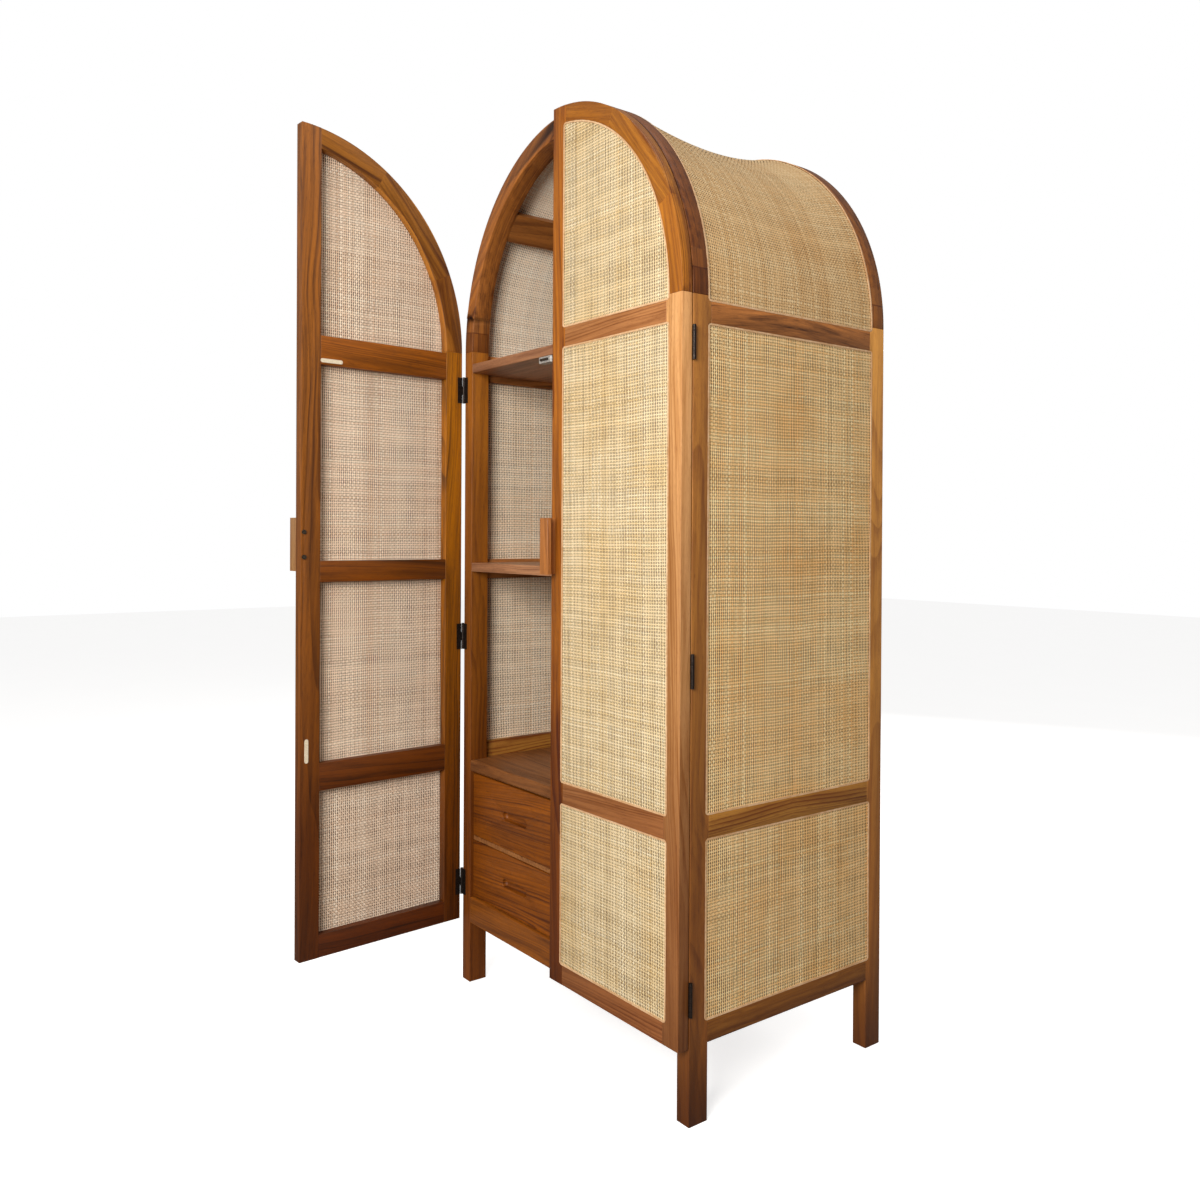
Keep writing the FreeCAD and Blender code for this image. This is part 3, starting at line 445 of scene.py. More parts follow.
# The front arch's ramp is painted shade: from the middle it darkens towards the right end.
arch_wood("front_arch", "BB7533", "64381C", CASE_JOINTS, ("D0C4B8", "FFFFFF", "ECE6E0"), "BCA692",
          ((-0.43, "FFFFFF"), (0.0, "FFFFFF"), (0.3, "CCC0B8")))
arch_wood("back_arch", "A9692E", "5A3018", CASE_JOINTS, ("F0EAE4", "FFFFFF", "F0EAE4"), "BCA692")
arch_wood("right_door_arch", "C47D22", "5B2307", (24.0, 60.0), ("FFF8F2", "FFFFFF", "DED4CA"), "C8B4A4",
          rings=0.65)
arch_wood("left_door_arch", "B87626", "4A1F07", (24.0, 60.0), ("F4ECE4", "FFFFFF", "E2DCD6"), "C8B4A4")
print(len(bpy.data.materials), "materials so far")

# %% [markdown]
# ## Worn edges
#
# A planed board has sharp edges for a day. Sanding, oil and hands round them, and what one sees of that
# is a thin bright or dark line wherever two faces meet. It could be painted, but a real round is as
# easy: each board is copied, its loose triangles are joined into whole faces, and a Bevel rounds every
# edge by less than a millimetre. The copy then stands in for the solid.

# %% Worn edges
BODIES = ("left_door", "right_door", "left_upper_drawer", "left_lower_drawer", "right_upper_drawer",
          "right_lower_drawer")
ROUND, EDGE_TURN = 0.0009, math.radians(30)


def soften(name):
    """A copy of a solid with a small round on each edge that turns by more than EDGE_TURN."""
    mesh = bpy.data.meshes.new(name + "_worn")
    shape = bmesh.new()
    shape.from_mesh(nodes[name].data)
    bmesh.ops.remove_doubles(shape, verts=shape.verts, dist=1e-5)
    bmesh.ops.dissolve_limit(shape, angle_limit=math.radians(0.5), verts=shape.verts, edges=shape.edges)
    shape.to_mesh(mesh)
    shape.free()
    mesh.shade_smooth()
    mesh.materials.clear()
    mesh.materials.append(nodes[name].material_slots[0].material)
    piece = new_piece(name + "_worn", mesh)
    worn = piece.modifiers.new("worn edge", "BEVEL")
    worn.width, worn.segments, worn.limit_method, worn.angle_limit = ROUND, 2, "ANGLE", EDGE_TURN
    worn.harden_normals = True
    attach(piece, next((body for body in BODIES if name.startswith(body)), "case"))
    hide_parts(name)
    return len(mesh.polygons)


BOARDS = """front_left_post front_right_post back_left_post back_right_post front_arch back_arch
    side_bottom_rails side_lower_rails side_middle_battens side_upper_rails front_bottom_rail
    back_bottom_rail back_lower_rail back_upper_rail upper_shelf middle_shelf drawer_board
    right_door_meeting_stile right_door_hinge_stile right_door_arch right_door_rails right_door_handle
    left_door_meeting_stile left_door_hinge_stile left_door_arch left_door_rails left_door_handle
    left_upper_drawer_front left_lower_drawer_front right_upper_drawer_front right_lower_drawer_front"""
print(sum(soften(name) for name in BOARDS.split()), "faces on the worn boards")

# %% [markdown]
# ## Finger slots
#
# A drawer is pulled by a round-ended slot in its front. Behind the slot lies a shallow scoop, so that a
# finger meets smooth wood and the eye doesn't look into the dark of the box. A solid dish could be cut
# out of the board, but its inner surface is all that shows, so a profile is carried round the slot.

# %% Finger scoops
SLOT_LENGTH, SLOT_HEIGHT = 0.104, 0.020
DRAWER_FACE, SLOT_X = -0.269, 0.1995
SLOT_Z = {"upper": 0.4395, "lower": 0.281}
SLOT_CLEAR = 0.998          # the scoop's outline against the slot's
ROUND_STEPS = 48
SCOOP = np.array([(0.0, 0.0015), (0.0, 0.007), (0.12, 0.0100), (0.30, 0.0118), (0.6, 0.0128),
                  (1.0, 0.0132)])


def scoop(body, x, z):
    """The scoop of one drawer. The slot's outline is a half circle round each end of its core line. A
    row of the profile says how far in from the outline to the core line a ring lies, and how deep."""
    angle = (np.arange(ROUND_STEPS) + 0.5) / ROUND_STEPS * 2 * np.pi
    radius = SLOT_HEIGHT / 2 * SLOT_CLEAR * (1 - SCOOP[:, :1])
    end = np.sign(np.cos(angle)) * (SLOT_LENGTH - SLOT_HEIGHT) / 2
    rings = np.stack([x + end + radius * np.cos(angle),
                      np.broadcast_to(DRAWER_FACE + SCOOP[:, 1:], (len(SCOOP), ROUND_STEPS)),
                      z + radius * np.sin(angle)], -1)
    index = np.arange(rings.size // 3).reshape(len(SCOOP), ROUND_STEPS)
    after = np.roll(index, -1, axis=1)
    quads = np.stack([index[:-1], after[:-1], after[1:], index[1:]], -1).reshape(-1, 4)
    mesh = bpy.data.meshes.new(body + "_scoop")
    mesh.from_pydata(rings.reshape(-1, 3).tolist(), [], quads.tolist())
    shape = bmesh.new()
    shape.from_mesh(mesh)
    bmesh.ops.remove_doubles(shape, verts=shape.verts, dist=1e-6)
    shape.to_mesh(mesh)
    shape.free()
    mesh.shade_smooth()
    mesh.materials.append(nodes[body + "_front"].material_slots[0].material)
    dish = new_piece(body + "_scoop", mesh)
    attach(dish, body)
    return len(mesh.polygons)


for body in BODIES[2:]:
    side, row = body.split("_")[:2]
    x = SLOT_X if side == "right" else -SLOT_X
    print(body, "scoop with", scoop(body, x, SLOT_Z[row]), "faces")

# %% [markdown]
# ## Cane
#
# The panels are close plain weave: flat strands of rattan peel, one set upright and one across, each
# going over and under the other. It could be drawn as a picture of holes on a flat sheet, but then the
# edges of the strands would catch no light, so the strands are made. A strand is a ribbon one face
# wide with two faces for each crossing. Its height over the sheet is a cosine of its place along the
# strand, +1 where it goes over and -1 where it goes under, with the sign swapped from one strand to
# the next. Widths, gaps and tones differ from strand to strand, which gives the lighter and darker
# lines that hand-woven cane shows.
#
# The holes between the strands are smaller here than in real cane, and in some panels there are none.
# What reads as a hole is painted shade: a dark corner, painted on both edges of a strand halfway
# between two crossings; four such corners meet where four strands do. On the rows they reach far in
# from the edge and on the uprights far along it, so that a hole is taller than it is wide. A softer
# painted shade darkens the edges of each strand near a gap.

# %% Cane material
STRAND_VALUES = ("tone", "open", "upright")     # the attributes that woven() gives each point
cane_group, given, result = new_group(
    "cane strand",
    [("Across", "Float", 0.5), ("Along", "Float", 0.0), ("Tone", "Float", 0.5), ("Open", "Float", 0.5),
     ("Hole", "Float", 0.5), ("Upright", "Float", 0.0),
     ("Pale", "Color", colour("EFDDB4")), ("Deep", "Color", colour("C79A55")),
     ("Hole Shade", "Color", colour("6B4A1E"))],
    [("Color", "Color"), ("Roughness", "Float"), ("Height", "Float")])
tree = cane_group
doubled = product(tree, given["Across"], 2.0)
from_middle = maths(tree, "ABSOLUTE", maths(tree, "SUBTRACT", doubled, 1.0))
at_gap = maths(tree, "ABSOLUTE", maths(tree, "SINE", product(tree, given["Along"], math.pi)))
# Painted shade: a soft darkening of a strand's edges near each gap.
edge_shade = product(tree, spread(tree, from_middle, 0.65, 1.0), spread(tree, at_gap, 0.0, 1.0, 0.3, 0.7))
narrower = maths(tree, "SUBTRACT", 1.0, product(tree, given["Upright"], 0.50))
reach = product(tree, given["Open"], narrower)
start = maths(tree, "SUBTRACT", 1.0, product(tree, given["Hole"], reach))
ends = maths(tree, "SUBTRACT", 0.58, product(tree, given["Upright"], 0.30))
# Painted shade in the holes: a dark corner on each edge of a strand halfway between crossings.
corner = product(tree, spread(tree, from_middle, start, maths(tree, "ADD", start, 0.22)),
                 spread(tree, at_gap, ends, maths(tree, "ADD", ends, 0.25)))
# All the painted shade of a strand: the edge shade at half strength and the hole shade.
painted_shade = maths(tree, "MAXIMUM", product(tree, edge_shade, 0.5), corner)
lines = node(tree, "CombineXYZ", {"X": product(tree, given["Across"], 5.0),
                                  "Y": product(tree, given["Along"], 0.12),
                                  "Z": product(tree, given["Tone"], 91.0)}).outputs[0]
peel = node(tree, "TexNoise", {"Vector": lines, "Scale": 1.0, "Detail": 3.0}).outputs["Fac"]
streaked = product(tree, maths(tree, "SUBTRACT", peel, 0.5), 0.7)
mixed_tone = node(tree, "Clamp", {"Value": maths(tree, "ADD", given["Tone"], streaked)}).outputs[0]
skin = blended(tree, mixed_tone, given["Pale"], given["Deep"])
tree.links.new(blended(tree, painted_shade, skin, given["Hole Shade"]), result["Color"])
dullness = spread(tree, peel, 0.3, 0.7, 0.42, 0.60)
tree.links.new(maths(tree, "MAXIMUM", dullness, painted_shade), result["Roughness"])
crown = maths(tree, "SUBTRACT", 1.0, maths(tree, "POWER", from_middle, 2.0))
tree.links.new(maths(tree, "ADD", crown, product(tree, peel, 0.35)), result["Height"])


def cane(name, outside, inside, gap, holes, blush, blushed, crown=(0.0, 1.0, 1.0)):
    """Cane: the strand group on the strands' own map, a slow golden blush over the panel, and the
    duller inner face of the peel where a strand is seen from behind. gap is the colour of the painted
    shade in the holes, and holes says how large that painted shade is, outside and inside. It grows and
    shrinks in patches a few fingers wide, and between the heights crown[0] and crown[1] it shrinks to
    crown[2] of its size."""
    made, tree, shader = new_material(name)
    strand_map = node(tree, "UVMap", uv_map="strand").outputs[0]
    map_at = node(tree, "SeparateXYZ", {"Vector": strand_map}).outputs
    tone, wide, upright = (node(tree, "Attribute", attribute_name=attribute).outputs["Fac"]
                           for attribute in STRAND_VALUES)
    place = node(tree, "TexCoord").outputs["Object"]
    patch = node(tree, "TexNoise", {"Vector": place, "Scale": 5.0, "Detail": 3.0}).outputs["Fac"]
    loose = node(tree, "TexNoise", {"Vector": place, "Scale": 28.0, "Detail": 2.0}).outputs["Fac"]
    wide = product(tree, wide, spread(tree, loose, 0.34, 0.66, 0.86, 1.1))
    height = node(tree, "SeparateXYZ", {"Vector": place}).outputs["Z"]
    wide = product(tree, wide, spread(tree, height, crown[0], crown[1], 1.0, crown[2]))
    faces = []
    for (light, dark), hole in zip((outside, inside), holes):
        sockets = {"Across": map_at["X"], "Along": map_at["Y"], "Tone": tone, "Open": wide,
                   "Upright": upright, "Hole": hole, "Pale": colour(light), "Deep": colour(dark),
                   "Hole Shade": colour(gap)}
        faces.append(node(tree, "Group", sockets, node_tree=cane_group))
    amount = spread(tree, patch, 0.48, 0.72, 0.0, blushed)
    outer = blended(tree, amount, faces[0].outputs["Color"], colour(blush), "MULTIPLY")
    behind = node(tree, "NewGeometry").outputs["Backfacing"]
    tree.links.new(blended(tree, behind, outer, faces[1].outputs["Color"]), shader.inputs["Base Color"])
    tree.links.new(faces[0].outputs["Roughness"], shader.inputs["Roughness"])
    bump = node(tree, "Bump", {"Height": faces[0].outputs["Height"], "Strength": 0.6, "Distance": 0.0005})
    tree.links.new(bump.outputs[0], shader.inputs["Normal"])
    shader.inputs["Specular IOR Level"].default_value = 0.3
    return made


# The fourth colour of each cane is the painted shade in its holes.
PEEL, PITH = ("F5E3BE", "DEBF89"), ("F7E3CB", "D9B697")
DOOR_CANE = cane("door_cane", PEEL, PITH, "4A2E0E", (1.2, 0.85), "F6E0B0", 0.35)
OPEN_CANE = cane("open_door_cane", PEEL, PITH, "301A10", (1.05, 1.05), "F8DEAC", 0.3)
# The left side panel's inner face is painted lighter than the pith elsewhere: painted light inside the
# cabinet.
INNER_CANE = cane("left_side_cane", PEEL, ("FFEED4", "F0D0AA"), "301A10", (1.05, 1.0), "F8DEAC", 0.3)
SIDE_CANE = cane("side_cane", ("FFE4AE", "EEB873"), PITH, "4A2C0C", (1.1, 0.85), "F6DAAA", 0.45)
# The roof's inner face is painted lighter than the pith elsewhere: painted light for what the cane lets
# through.
ROOF_CANE = cane("roof_cane", ("EACA98", "CFA066"), ("FFF2DC", "F4DABA"), "4A2E14", (0.9, 0.8),
                 "F4D6A4", 0.3, crown=(1.86, 1.96, 0.3))

# %% [markdown]
# ## Weaving a panel
#
# One function weaves any panel. It works on a flat sheet, with u across and v up, and hands every
# point to a second function that puts the sheet into its place: straight for the sides, swung round
# the hinge for the open door, and bent over the arches for the roof.

# %% Weave
CROSS_PITCH, UP_PITCH = 0.00602, 0.00507
CANE_DEPTH = 0.0023         # from the frame's face down to the middle of the weave
LIFT = 0.0006               # how far a strand rises and falls
SHUT, SLIT = 0.0, 0.06      # the usual gap between strands, as a share of the pitch
ROW_GAP = 0.9               # the rows' gap against that of the uprights


def sway(u, v):
    """How far hand weaving pulls a point aside and up: two slow waves each, 1.2 mm together at most."""
    aside = 0.0006 * np.sin(21 * v + 9 * u) + 0.0004 * np.sin(47 * v - 13 * u + 1.1)
    raised = 0.0007 * np.sin(19 * u + 5 * v + 0.7) + 0.0005 * np.sin(43 * u - 11 * v + 2.0)
    return aside, raised


def strand_row(chance, low, high, pitch, gap, paired):
    """Middles, edges, tones and gap openness of one set of strands. The gaps are laid out first, one
    pitch apart with a little chance, and a gap is as wide as the usual gap times (0.3 + 1.4 times its
    openness). In a paired set every second gap is usually narrow, so that two strands lie close."""
    count = max(2, int(round((high - low) / pitch)))
    pitch = (high - low) / count
    places = low + np.arange(count + 1) * pitch + chance.normal(0, 0.05 * pitch, count + 1)
    shut = (np.arange(count + 1) % 2 == 0) ^ (chance.random(count + 1) < 0.3)
    openness = chance.uniform(0.4, 0.9, count + 1)
    if paired:
        narrow, wide = chance.uniform(0.4, 0.75, count + 1), chance.uniform(0.65, 1.0, count + 1)
        openness = np.where(shut, narrow, wide)
    widths = pitch * gap * (0.3 + 1.4 * openness)
    edges = np.stack([places[:-1] + widths[:-1] / 2, places[1:] - widths[1:] / 2], -1)
    drift = np.convolve(chance.normal(0, 1, count + 8), np.ones(9) / 3, "valid") * 0.07
    pale = chance.random(count) < 0.12
    own_tone = chance.normal(0, 0.16 if paired else 0.12, count)
    tones = np.clip(0.48 + own_tone + drift - 0.45 * pale, 0, 1)
    return edges.mean(1), edges, tones, openness


def ribbons(this, other, first_up, lift):
    """Points of one set of strands as arrays (strand, station, edge): station t runs in half steps past
    the crossings, and the height is the lift times cos(pi t), with its sign swapped from strand to
    strand. A point's openness is the root of its own gap's openness times that of the gap it passes."""
    edges, tones, openness = this[1:]
    crossings, other_openness = other[0], other[3]
    steps = np.arange(-0.5, len(crossings), 0.5)
    pitch = crossings[1] - crossings[0]
    run = np.interp(steps, np.arange(len(crossings)), crossings)
    run = np.where(steps < 0, crossings[0] - 0.5 * pitch, run)
    run = np.where(steps > len(crossings) - 1, crossings[-1] + 0.5 * pitch, run)
    sign = np.where(np.arange(len(edges)) % 2 == first_up, 1.0, -1.0)
    height = lift * sign[:, None, None] * np.cos(np.pi * steps)[None, :, None]
    own = np.stack([openness[:-1], openness[1:]], -1)[:, None, :]
    passed = np.interp(steps + 0.5, np.arange(len(crossings) + 1), other_openness)[None, :, None]
    parts = (edges[:, None, :], run[None, :, None], height, steps[None, :, None], tones[:, None, None],
             np.sqrt(own * passed))
    return [np.broadcast_to(part, (len(edges), len(steps), 2)) for part in parts]


def woven(name, u_range, v_range, kept, into_place, seed, material, body, replaced, gap, lift=LIFT):
    """A woven panel. Two sets of ribbons are laid out on the sheet, swayed, cut to the panel's outline
    by leaving out each face whose middle isn't kept, and put into place. Each point carries its
    strand's tone, how open the nearest hole is, and 1 on an upright or 0 on a row."""
    chance = np.random.default_rng(seed)
    rows = strand_row(chance, *v_range, CROSS_PITCH, ROW_GAP * gap, False)
    posts = strand_row(chance, *u_range, UP_PITCH, gap, True)
    points, faces, maps, own, start = [], [], [], [], 0
    for this, other, first_up, upright in ((posts, rows, 0, True), (rows, posts, 1, False)):
        side, run, height, steps, tones, opens = ribbons(this, other, first_up, lift)
        u, v = (side, run) if upright else (run, side)
        aside, raised = sway(u, v)
        flat = np.stack([u + aside, v + raised, height], -1)
        index = np.arange(side.size).reshape(side.shape)
        corners = [index[:, :-1, 0], index[:, :-1, 1], index[:, 1:, 1], index[:, 1:, 0]]
        quads = np.stack(corners if upright else corners[::-1], -1).reshape(-1, 4)
        flat = flat.reshape(-1, 3)
        middle = flat[quads].mean(1)
        quads = quads[kept(middle[:, 0], middle[:, 1])]
        across = np.broadcast_to(np.array([0.0, 1.0]), side.shape)
        maps.append(np.stack([across, steps], -1).reshape(-1, 2)[quads])
        which = np.full(tones.shape, float(upright))
        own.append(np.stack([tones, opens, which], -1).reshape(-1, 3))
        points.append(flat)
        faces.append(quads + start)
        start += len(flat)
    flat, quads = np.concatenate(points), np.concatenate(faces)
    used, quads = np.unique(quads, return_inverse=True)
    mesh = bpy.data.meshes.new(name)
    placed = into_place(flat[used, 0], flat[used, 1], flat[used, 2])
    mesh.from_pydata(placed.tolist(), [], quads.reshape(-1, 4).tolist())
    strand_map = np.concatenate(maps).astype(np.float32)
    mesh.uv_layers.new(name="strand").data.foreach_set("uv", strand_map.ravel())
    for column, attribute in enumerate(STRAND_VALUES):
        values = np.concatenate(own)[used, column].astype(np.float32)
        mesh.attributes.new(attribute, "FLOAT", "POINT").data.foreach_set("value", values)
    mesh.shade_smooth()
    mesh.materials.append(material)
    panel = new_piece(name, mesh)
    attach(panel, body)
    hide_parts(replaced)
    print(name, len(posts[0]), "by", len(rows[0]), "strands,", len(quads) // 2, "triangles")
    return panel


# %% [markdown]
# ## Side panels
#
# Each side has a short sheet below and a tall one above the rail. The outer face of the frame is at
# 425 mm from the middle, and the cane lies a little over 2 mm under it.

# %% Side cane
HALF = 0.425
SHEET_HALF_DEPTH = 0.2395
LOW_SHEET, TALL_SHEET = (0.190, 0.534), (0.578, 1.505)
CORNER_RADIUS = 0.007


def rounded(u_range, v_range, radius=CORNER_RADIUS):
    """Keeps what lies in a rectangle with rounded corners: further from its inner rectangle than the
    radius is outside."""
    def kept(u, v):
        past_u = np.maximum(np.maximum(u_range[0] + radius - u, u - u_range[1] + radius), 0)
        past_v = np.maximum(np.maximum(v_range[0] + radius - v, v - v_range[1] + radius), 0)
        return np.hypot(past_u, past_v) < radius
    return kept


def on_side(sign):
    """Puts a sheet on the left or right side: u is Y and v is Z. Height points away from the cabinet."""
    def into_place(u, v, h):
        return np.stack([sign * (HALF - CANE_DEPTH + h), sign * u, v], -1)
    return into_place


for sign, side, material, gap in ((-1, "left", INNER_CANE, SHUT), (1, "right", SIDE_CANE, SLIT)):
    u_range = (-SHEET_HALF_DEPTH, SHEET_HALF_DEPTH)
    for label, v_range in (("low", LOW_SHEET), ("tall", TALL_SHEET)):
        woven(side + "_side_cane_" + label, u_range, v_range, rounded(u_range, v_range), on_side(sign),
              100 + sign + int(v_range[0] * 90), material, "case", side + "_side_cane", gap)

# %% [markdown]
# ## Door panels
#
# A door holds three sheets. The top one fills the quarter arch: it is kept where the point lies in
# the ellipse. The left door is made shut, like the right one but mirrored, and every point is then
# swung round the hinge line by the angle at which the door stands open.

# %% Door cane
DOOR_FACE = -0.3047
SHEET_X = (0.0385, 0.388)
ARCH_SHEET = (0.388, 0.427)
ARCH_SHEET_FOOT = 1.546


def on_right_door(u, v, h):
    """The shut right door: u is X, v is Z, and height points to the front."""
    return np.stack([u, DOOR_FACE + CANE_DEPTH - h, v], -1)


def on_left_door(u, v, h):
    """The left door: mirrored, then each point is turned round the hinge by the swing."""
    x, y = turned(-u, DOOR_FACE + CANE_DEPTH - h, LEFT_SWING)
    return np.stack([x, y, v], -1)


def under_arch(u, v):
    """Keeps what is right of the meeting stile, over the rail and inside the ellipse."""
    inside = (u / ARCH_SHEET[0]) ** 2 + ((v - SPRING) / ARCH_SHEET[1]) ** 2 < 1
    return (u > SHEET_X[0]) & (v > ARCH_SHEET_FOOT) & ((v < SPRING) & (u < SHEET_X[1]) | inside)


for side, into_place, material, gap in (("left", on_left_door, OPEN_CANE, SHUT),
                                        ("right", on_right_door, DOOR_CANE, SLIT)):
    sheets = (("low", LOW_SHEET, rounded(SHEET_X, LOW_SHEET)),
              ("tall", TALL_SHEET, rounded(SHEET_X, TALL_SHEET)),
              ("arched", (ARCH_SHEET_FOOT, SPRING + ARCH_SHEET[1]), under_arch))
    for number, (label, v_range, kept) in enumerate(sheets):
        panel = woven(side + "_door_cane_" + label, SHEET_X, v_range, kept, into_place,
                      200 + 10 * number + len(side), material, side + "_door", side + "_door_cane", gap)
        if side == "left":
            panel.data.flip_normals()

# %% [markdown]
# ## The roof
#
# The roof is one sheet, bent round both arches and left to sag between them, so it is a saddle. Along
# its run the sheet goes up 10 mm, round half an ellipse and down again. The length of an ellipse has
# no plain formula, so it is measured on a fine table of angles, and a point's run is looked up in it.
# The sheet is woven in two halves that meet at the crown, so that neither piece is too large.

# %% Roof cane
ROOF = (0.4236, 0.4626)
ROOF_DEPTH = CANE_DEPTH * 0.6
ROOF_GAP, ROOF_LIFT = -0.02, 0.00025    # the strands overlap a little, so no light comes through
SAG, SAG_HALF = 0.030, 0.231
angles = np.linspace(0.0, math.pi, 2001)
ellipse = np.stack([ROOF[0] * np.cos(angles), ROOF[1] * np.sin(angles)], -1)
run_table = np.concatenate([[0.0], np.cumsum(np.hypot(*np.diff(ellipse, axis=0).T))])
UPRIGHT = 0.010
ROOF_RUN = run_table[-1] + 2 * UPRIGHT


def over_roof(u, v, h):
    """Run u goes round from the right side to the left, v is Y. The crown is lowered by the sag, which
    falls off as a parabola towards both arches, and height h is added along the ellipse's normal."""
    angle = np.interp(v - UPRIGHT, run_table, angles)
    sag = SAG * np.clip(1 - (u / SAG_HALF) ** 2, 0, 1)
    rise = ROOF[1] - ROOF_DEPTH - sag
    width = ROOF[0] - ROOF_DEPTH
    normal = np.stack([np.cos(angle) / width, np.sin(angle) / rise], -1)
    normal /= np.linalg.norm(normal, axis=-1, keepdims=True)
    below = -np.maximum(UPRIGHT - v, 0) - np.maximum(v - ROOF_RUN + UPRIGHT, 0)
    x = width * np.cos(angle) + h * normal[:, 0]
    z = SPRING + rise * np.sin(angle) + below + h * normal[:, 1]
    return np.stack([x, u, z], -1)


halfway = ROOF_RUN / 2
for label, v_range in (("right", (0.0, halfway)), ("left", (halfway, ROOF_RUN))):
    u_range = (-SHEET_HALF_DEPTH, SHEET_HALF_DEPTH)
    woven("roof_cane_" + label, u_range, v_range, lambda u, v: np.abs(u) < SHEET_HALF_DEPTH, over_roof,
          300 + len(label), ROOF_CANE, "case", "roof_cane", ROOF_GAP, ROOF_LIFT)

# %% [markdown]
# ## Splines, metal and catches
#
# A flat spline of the same peel is pressed into the groove round every sheet. The hinges are dark
# bronze, the screws dull steel, the strike plates enamelled cream and the catches grey plastic.

# %% Small parts
def spline_cane(name, light, dark):
    """The peel of the splines: long fibres, paler and smoother than the woven strands."""
    made, tree, shader = new_material(name)
    place = node(tree, "TexCoord").outputs["Object"]
    fibres = node(tree, "TexNoise", {"Vector": place, "Scale": 180.0, "Detail": 3.0}).outputs["Fac"]
    broad = node(tree, "TexNoise", {"Vector": place, "Scale": 14.0, "Detail": 2.0}).outputs["Fac"]
    amount = product(tree, maths(tree, "ADD", fibres, broad), 0.5)
    shade = blended(tree, spread(tree, amount, 0.35, 0.65), colour(light), colour(dark))
    tree.links.new(shade, shader.inputs["Base Color"])
    tree.links.new(spread(tree, fibres, 0.3, 0.7, 0.38, 0.55), shader.inputs["Roughness"])
    bump = node(tree, "Bump", {"Height": fibres, "Strength": 0.2, "Distance": 0.0004})
    tree.links.new(bump.outputs[0], shader.inputs["Normal"])
    return made


def metal(name, light, dark, metallic, roughness, scale):
    """Metal with a fine uneven finish: noise moves the colour and the roughness a little."""
    made, tree, shader = new_material(name)
    place = node(tree, "TexCoord").outputs["Object"]
    grain = node(tree, "TexNoise", {"Vector": place, "Scale": scale, "Detail": 4.0}).outputs["Fac"]
    tree.links.new(blended(tree, spread(tree, grain, 0.35, 0.65), colour(light), colour(dark)),
                   shader.inputs["Base Color"])
    low, high = roughness
    tree.links.new(spread(tree, grain, 0.3, 0.7, low, high), shader.inputs["Roughness"])
    bump = node(tree, "Bump", {"Height": grain, "Strength": 0.15, "Distance": 0.0002})
    tree.links.new(bump.outputs[0], shader.inputs["Normal"])
    shader.inputs["Metallic"].default_value = metallic
    return made


SPLINE = spline_cane("spline_peel", "E2BC92", "C89868")
dress(SPLINE, "side_splines", "roof_splines", "left_door_splines", "right_door_splines")
HINGE_METAL = metal("hinge_bronze", "3A302A", "1C1613", 0.75, (0.36, 0.55), 400.0)
dress(HINGE_METAL, "case_hinge_leaves", "left_door_hinge_leaves", "right_door_hinge_leaves",
      "hinge_pins")
dress(metal("dull_steel", "5A5650", "36332F", 0.85, (0.30, 0.48), 600.0),
      "catch_magnets", "left_door_handle_screws", "right_door_handle_screws")
dress(metal("painted_plate", "E8DCC4", "D4C4A6", 0.0, (0.35, 0.55), 500.0),
      "left_door_strike_plates", "right_door_strike_plates")
dress(metal("catch_plastic", "AEAAA2", "8C8882", 0.0, (0.35, 0.5), 300.0), "catch_housings")

# %% [markdown]
# ## Studio
#
# The cabinet stands on a plain pale floor in soft light. The main lamp is large and hangs high, in
# front and a little to the right, so that it reaches through the open door and leaves the feet
# darker than the arches, and the painted shade on the wood darkens them further. A weak lamp over the
# roof and one behind the cabinet keep its other faces from going flat. The world fills the shadows.
# The eye sees it as white, while it lights the object less than that, which keeps the wood deep in
# colour: a bright world all round would lay a grey sheen over every dark board.

# %% Floor and lights
FLOOR_REACH = 14.0
WHITE = (1.0, 1.0, 1.0, 1.0)


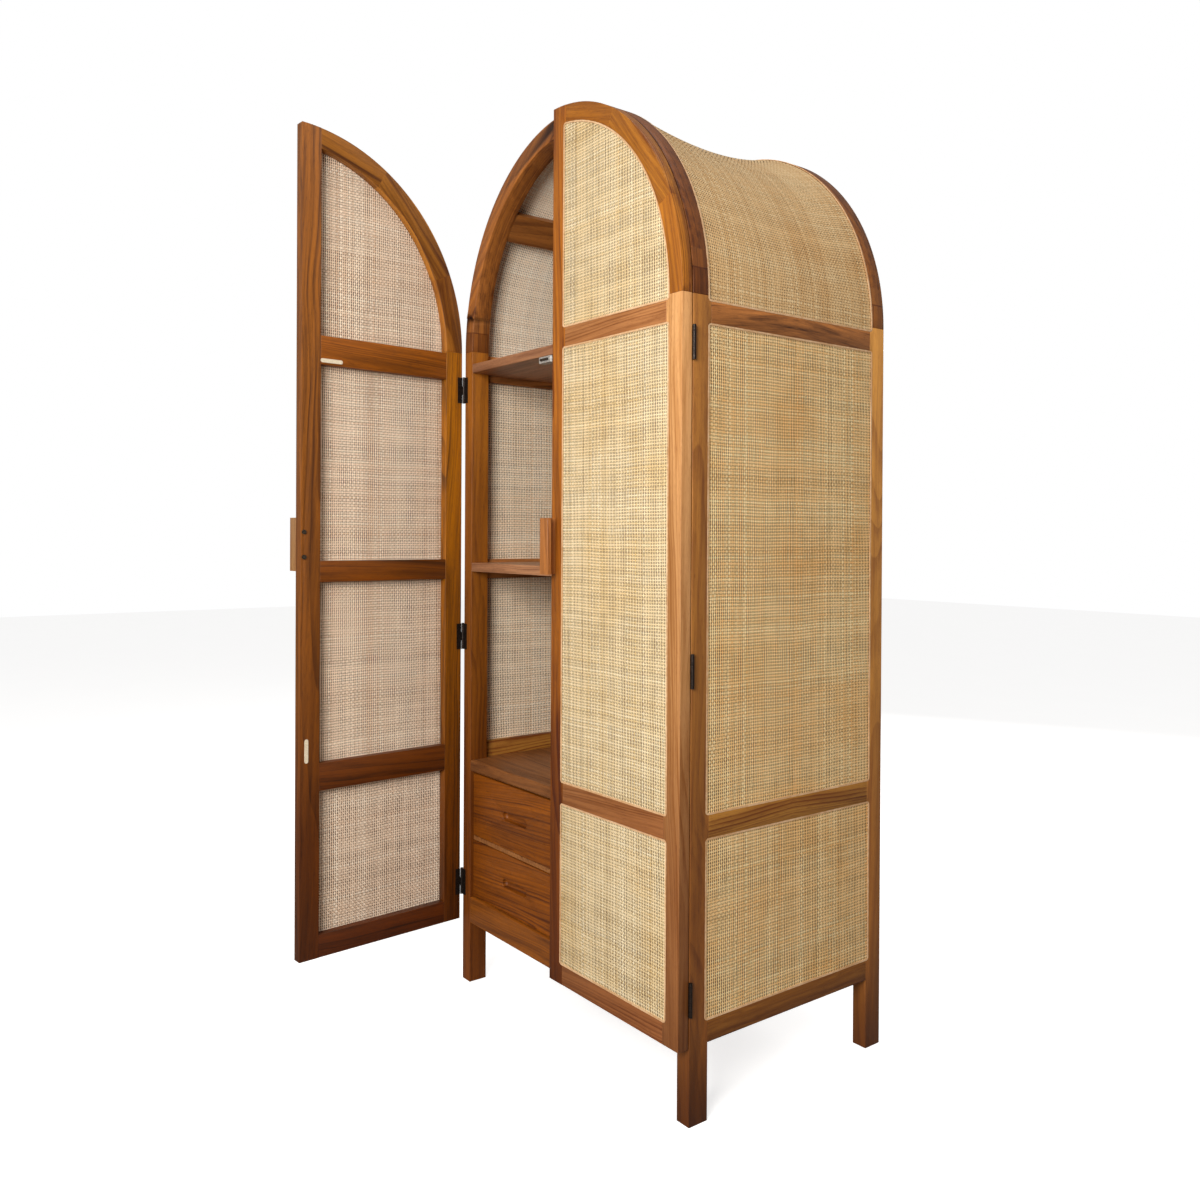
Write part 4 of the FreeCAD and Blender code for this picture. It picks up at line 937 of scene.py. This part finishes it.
def studio_floor():
    """A large square under the feet, pale and very faintly mottled. The eye sees it brightened to
    near white, while the light that it throws back at the object is that of a grey floor."""
    mesh = bpy.data.meshes.new("studio_floor")
    square = [(-FLOOR_REACH, -FLOOR_REACH, 0), (FLOOR_REACH, -FLOOR_REACH, 0),
              (FLOOR_REACH, FLOOR_REACH, 0), (-FLOOR_REACH, FLOOR_REACH, 0)]
    mesh.from_pydata(square, [], [(0, 1, 2, 3)])
    made, tree, shader = new_material("pale_floor")
    grain = node(tree, "TexNoise", {"Vector": node(tree, "TexCoord").outputs["Object"], "Scale": 3.0})
    shade = blended(tree, grain.outputs["Fac"], colour("DEDCDA"), colour("E4E2E0"))
    eye = node(tree, "LightPath").outputs["Is Camera Ray"]
    tree.links.new(blended(tree, eye, colour("8C8782"), shade), shader.inputs["Base Color"])
    shader.inputs["Roughness"].default_value = 0.8
    tree.links.new(product(tree, eye, 0.70), shader.inputs["Emission Strength"])
    shader.inputs["Emission Color"].default_value = WHITE
    mesh.materials.append(made)
    new_piece("studio_floor", mesh)


def soft_lamp(name, place, aim, size, watts, tint=(1.0, 0.985, 0.96)):
    """A square area lamp at place that looks at aim."""
    data = bpy.data.lights.new(name, "AREA")
    data.shape, data.size, data.energy, data.color = "SQUARE", size, watts, tint
    lamp = new_piece(name, data)
    away = np.array(place, float) - np.array(aim, float)
    away /= np.linalg.norm(away)
    side = np.cross([0, 0, 1], away)
    side /= np.linalg.norm(side)
    lamp.matrix_world = facing(side, np.cross(away, side), away, place)


def studio_world(seen, lit):
    """A white world with one strength for the eye and another for the light that it gives."""
    made = bpy.data.worlds.new("studio_world")
    made.use_nodes = True
    tree = made.node_tree
    given_light = tree.nodes["Background"]
    given_light.inputs["Color"].default_value = WHITE
    given_light.inputs["Strength"].default_value = lit
    backdrop = node(tree, "Background", {"Color": WHITE, "Strength": seen})
    eye = node(tree, "LightPath").outputs["Is Camera Ray"]
    both = node(tree, "MixShader", {0: eye, 1: given_light.outputs[0], 2: backdrop.outputs[0]})
    tree.links.new(both.outputs[0], tree.nodes["World Output"].inputs["Surface"])
    return made


studio_floor()
bpy.context.scene.world = studio_world(1.0, 0.30)
bpy.context.scene.view_settings.view_transform = "Standard"
soft_lamp("main_lamp", (1.7, -2.9, 1.85), (0.0, 0.0, 1.1), 1.5, 122.0)
soft_lamp("top_lamp", (0.8, -0.3, 4.2), (0.0, 0.0, 1.0), 2.2, 28.0)
soft_lamp("back_lamp", (-1.6, 3.4, 2.2), (0.0, 0.277, 1.0), 2.0, 70.0)
print("three lamps and a floor")
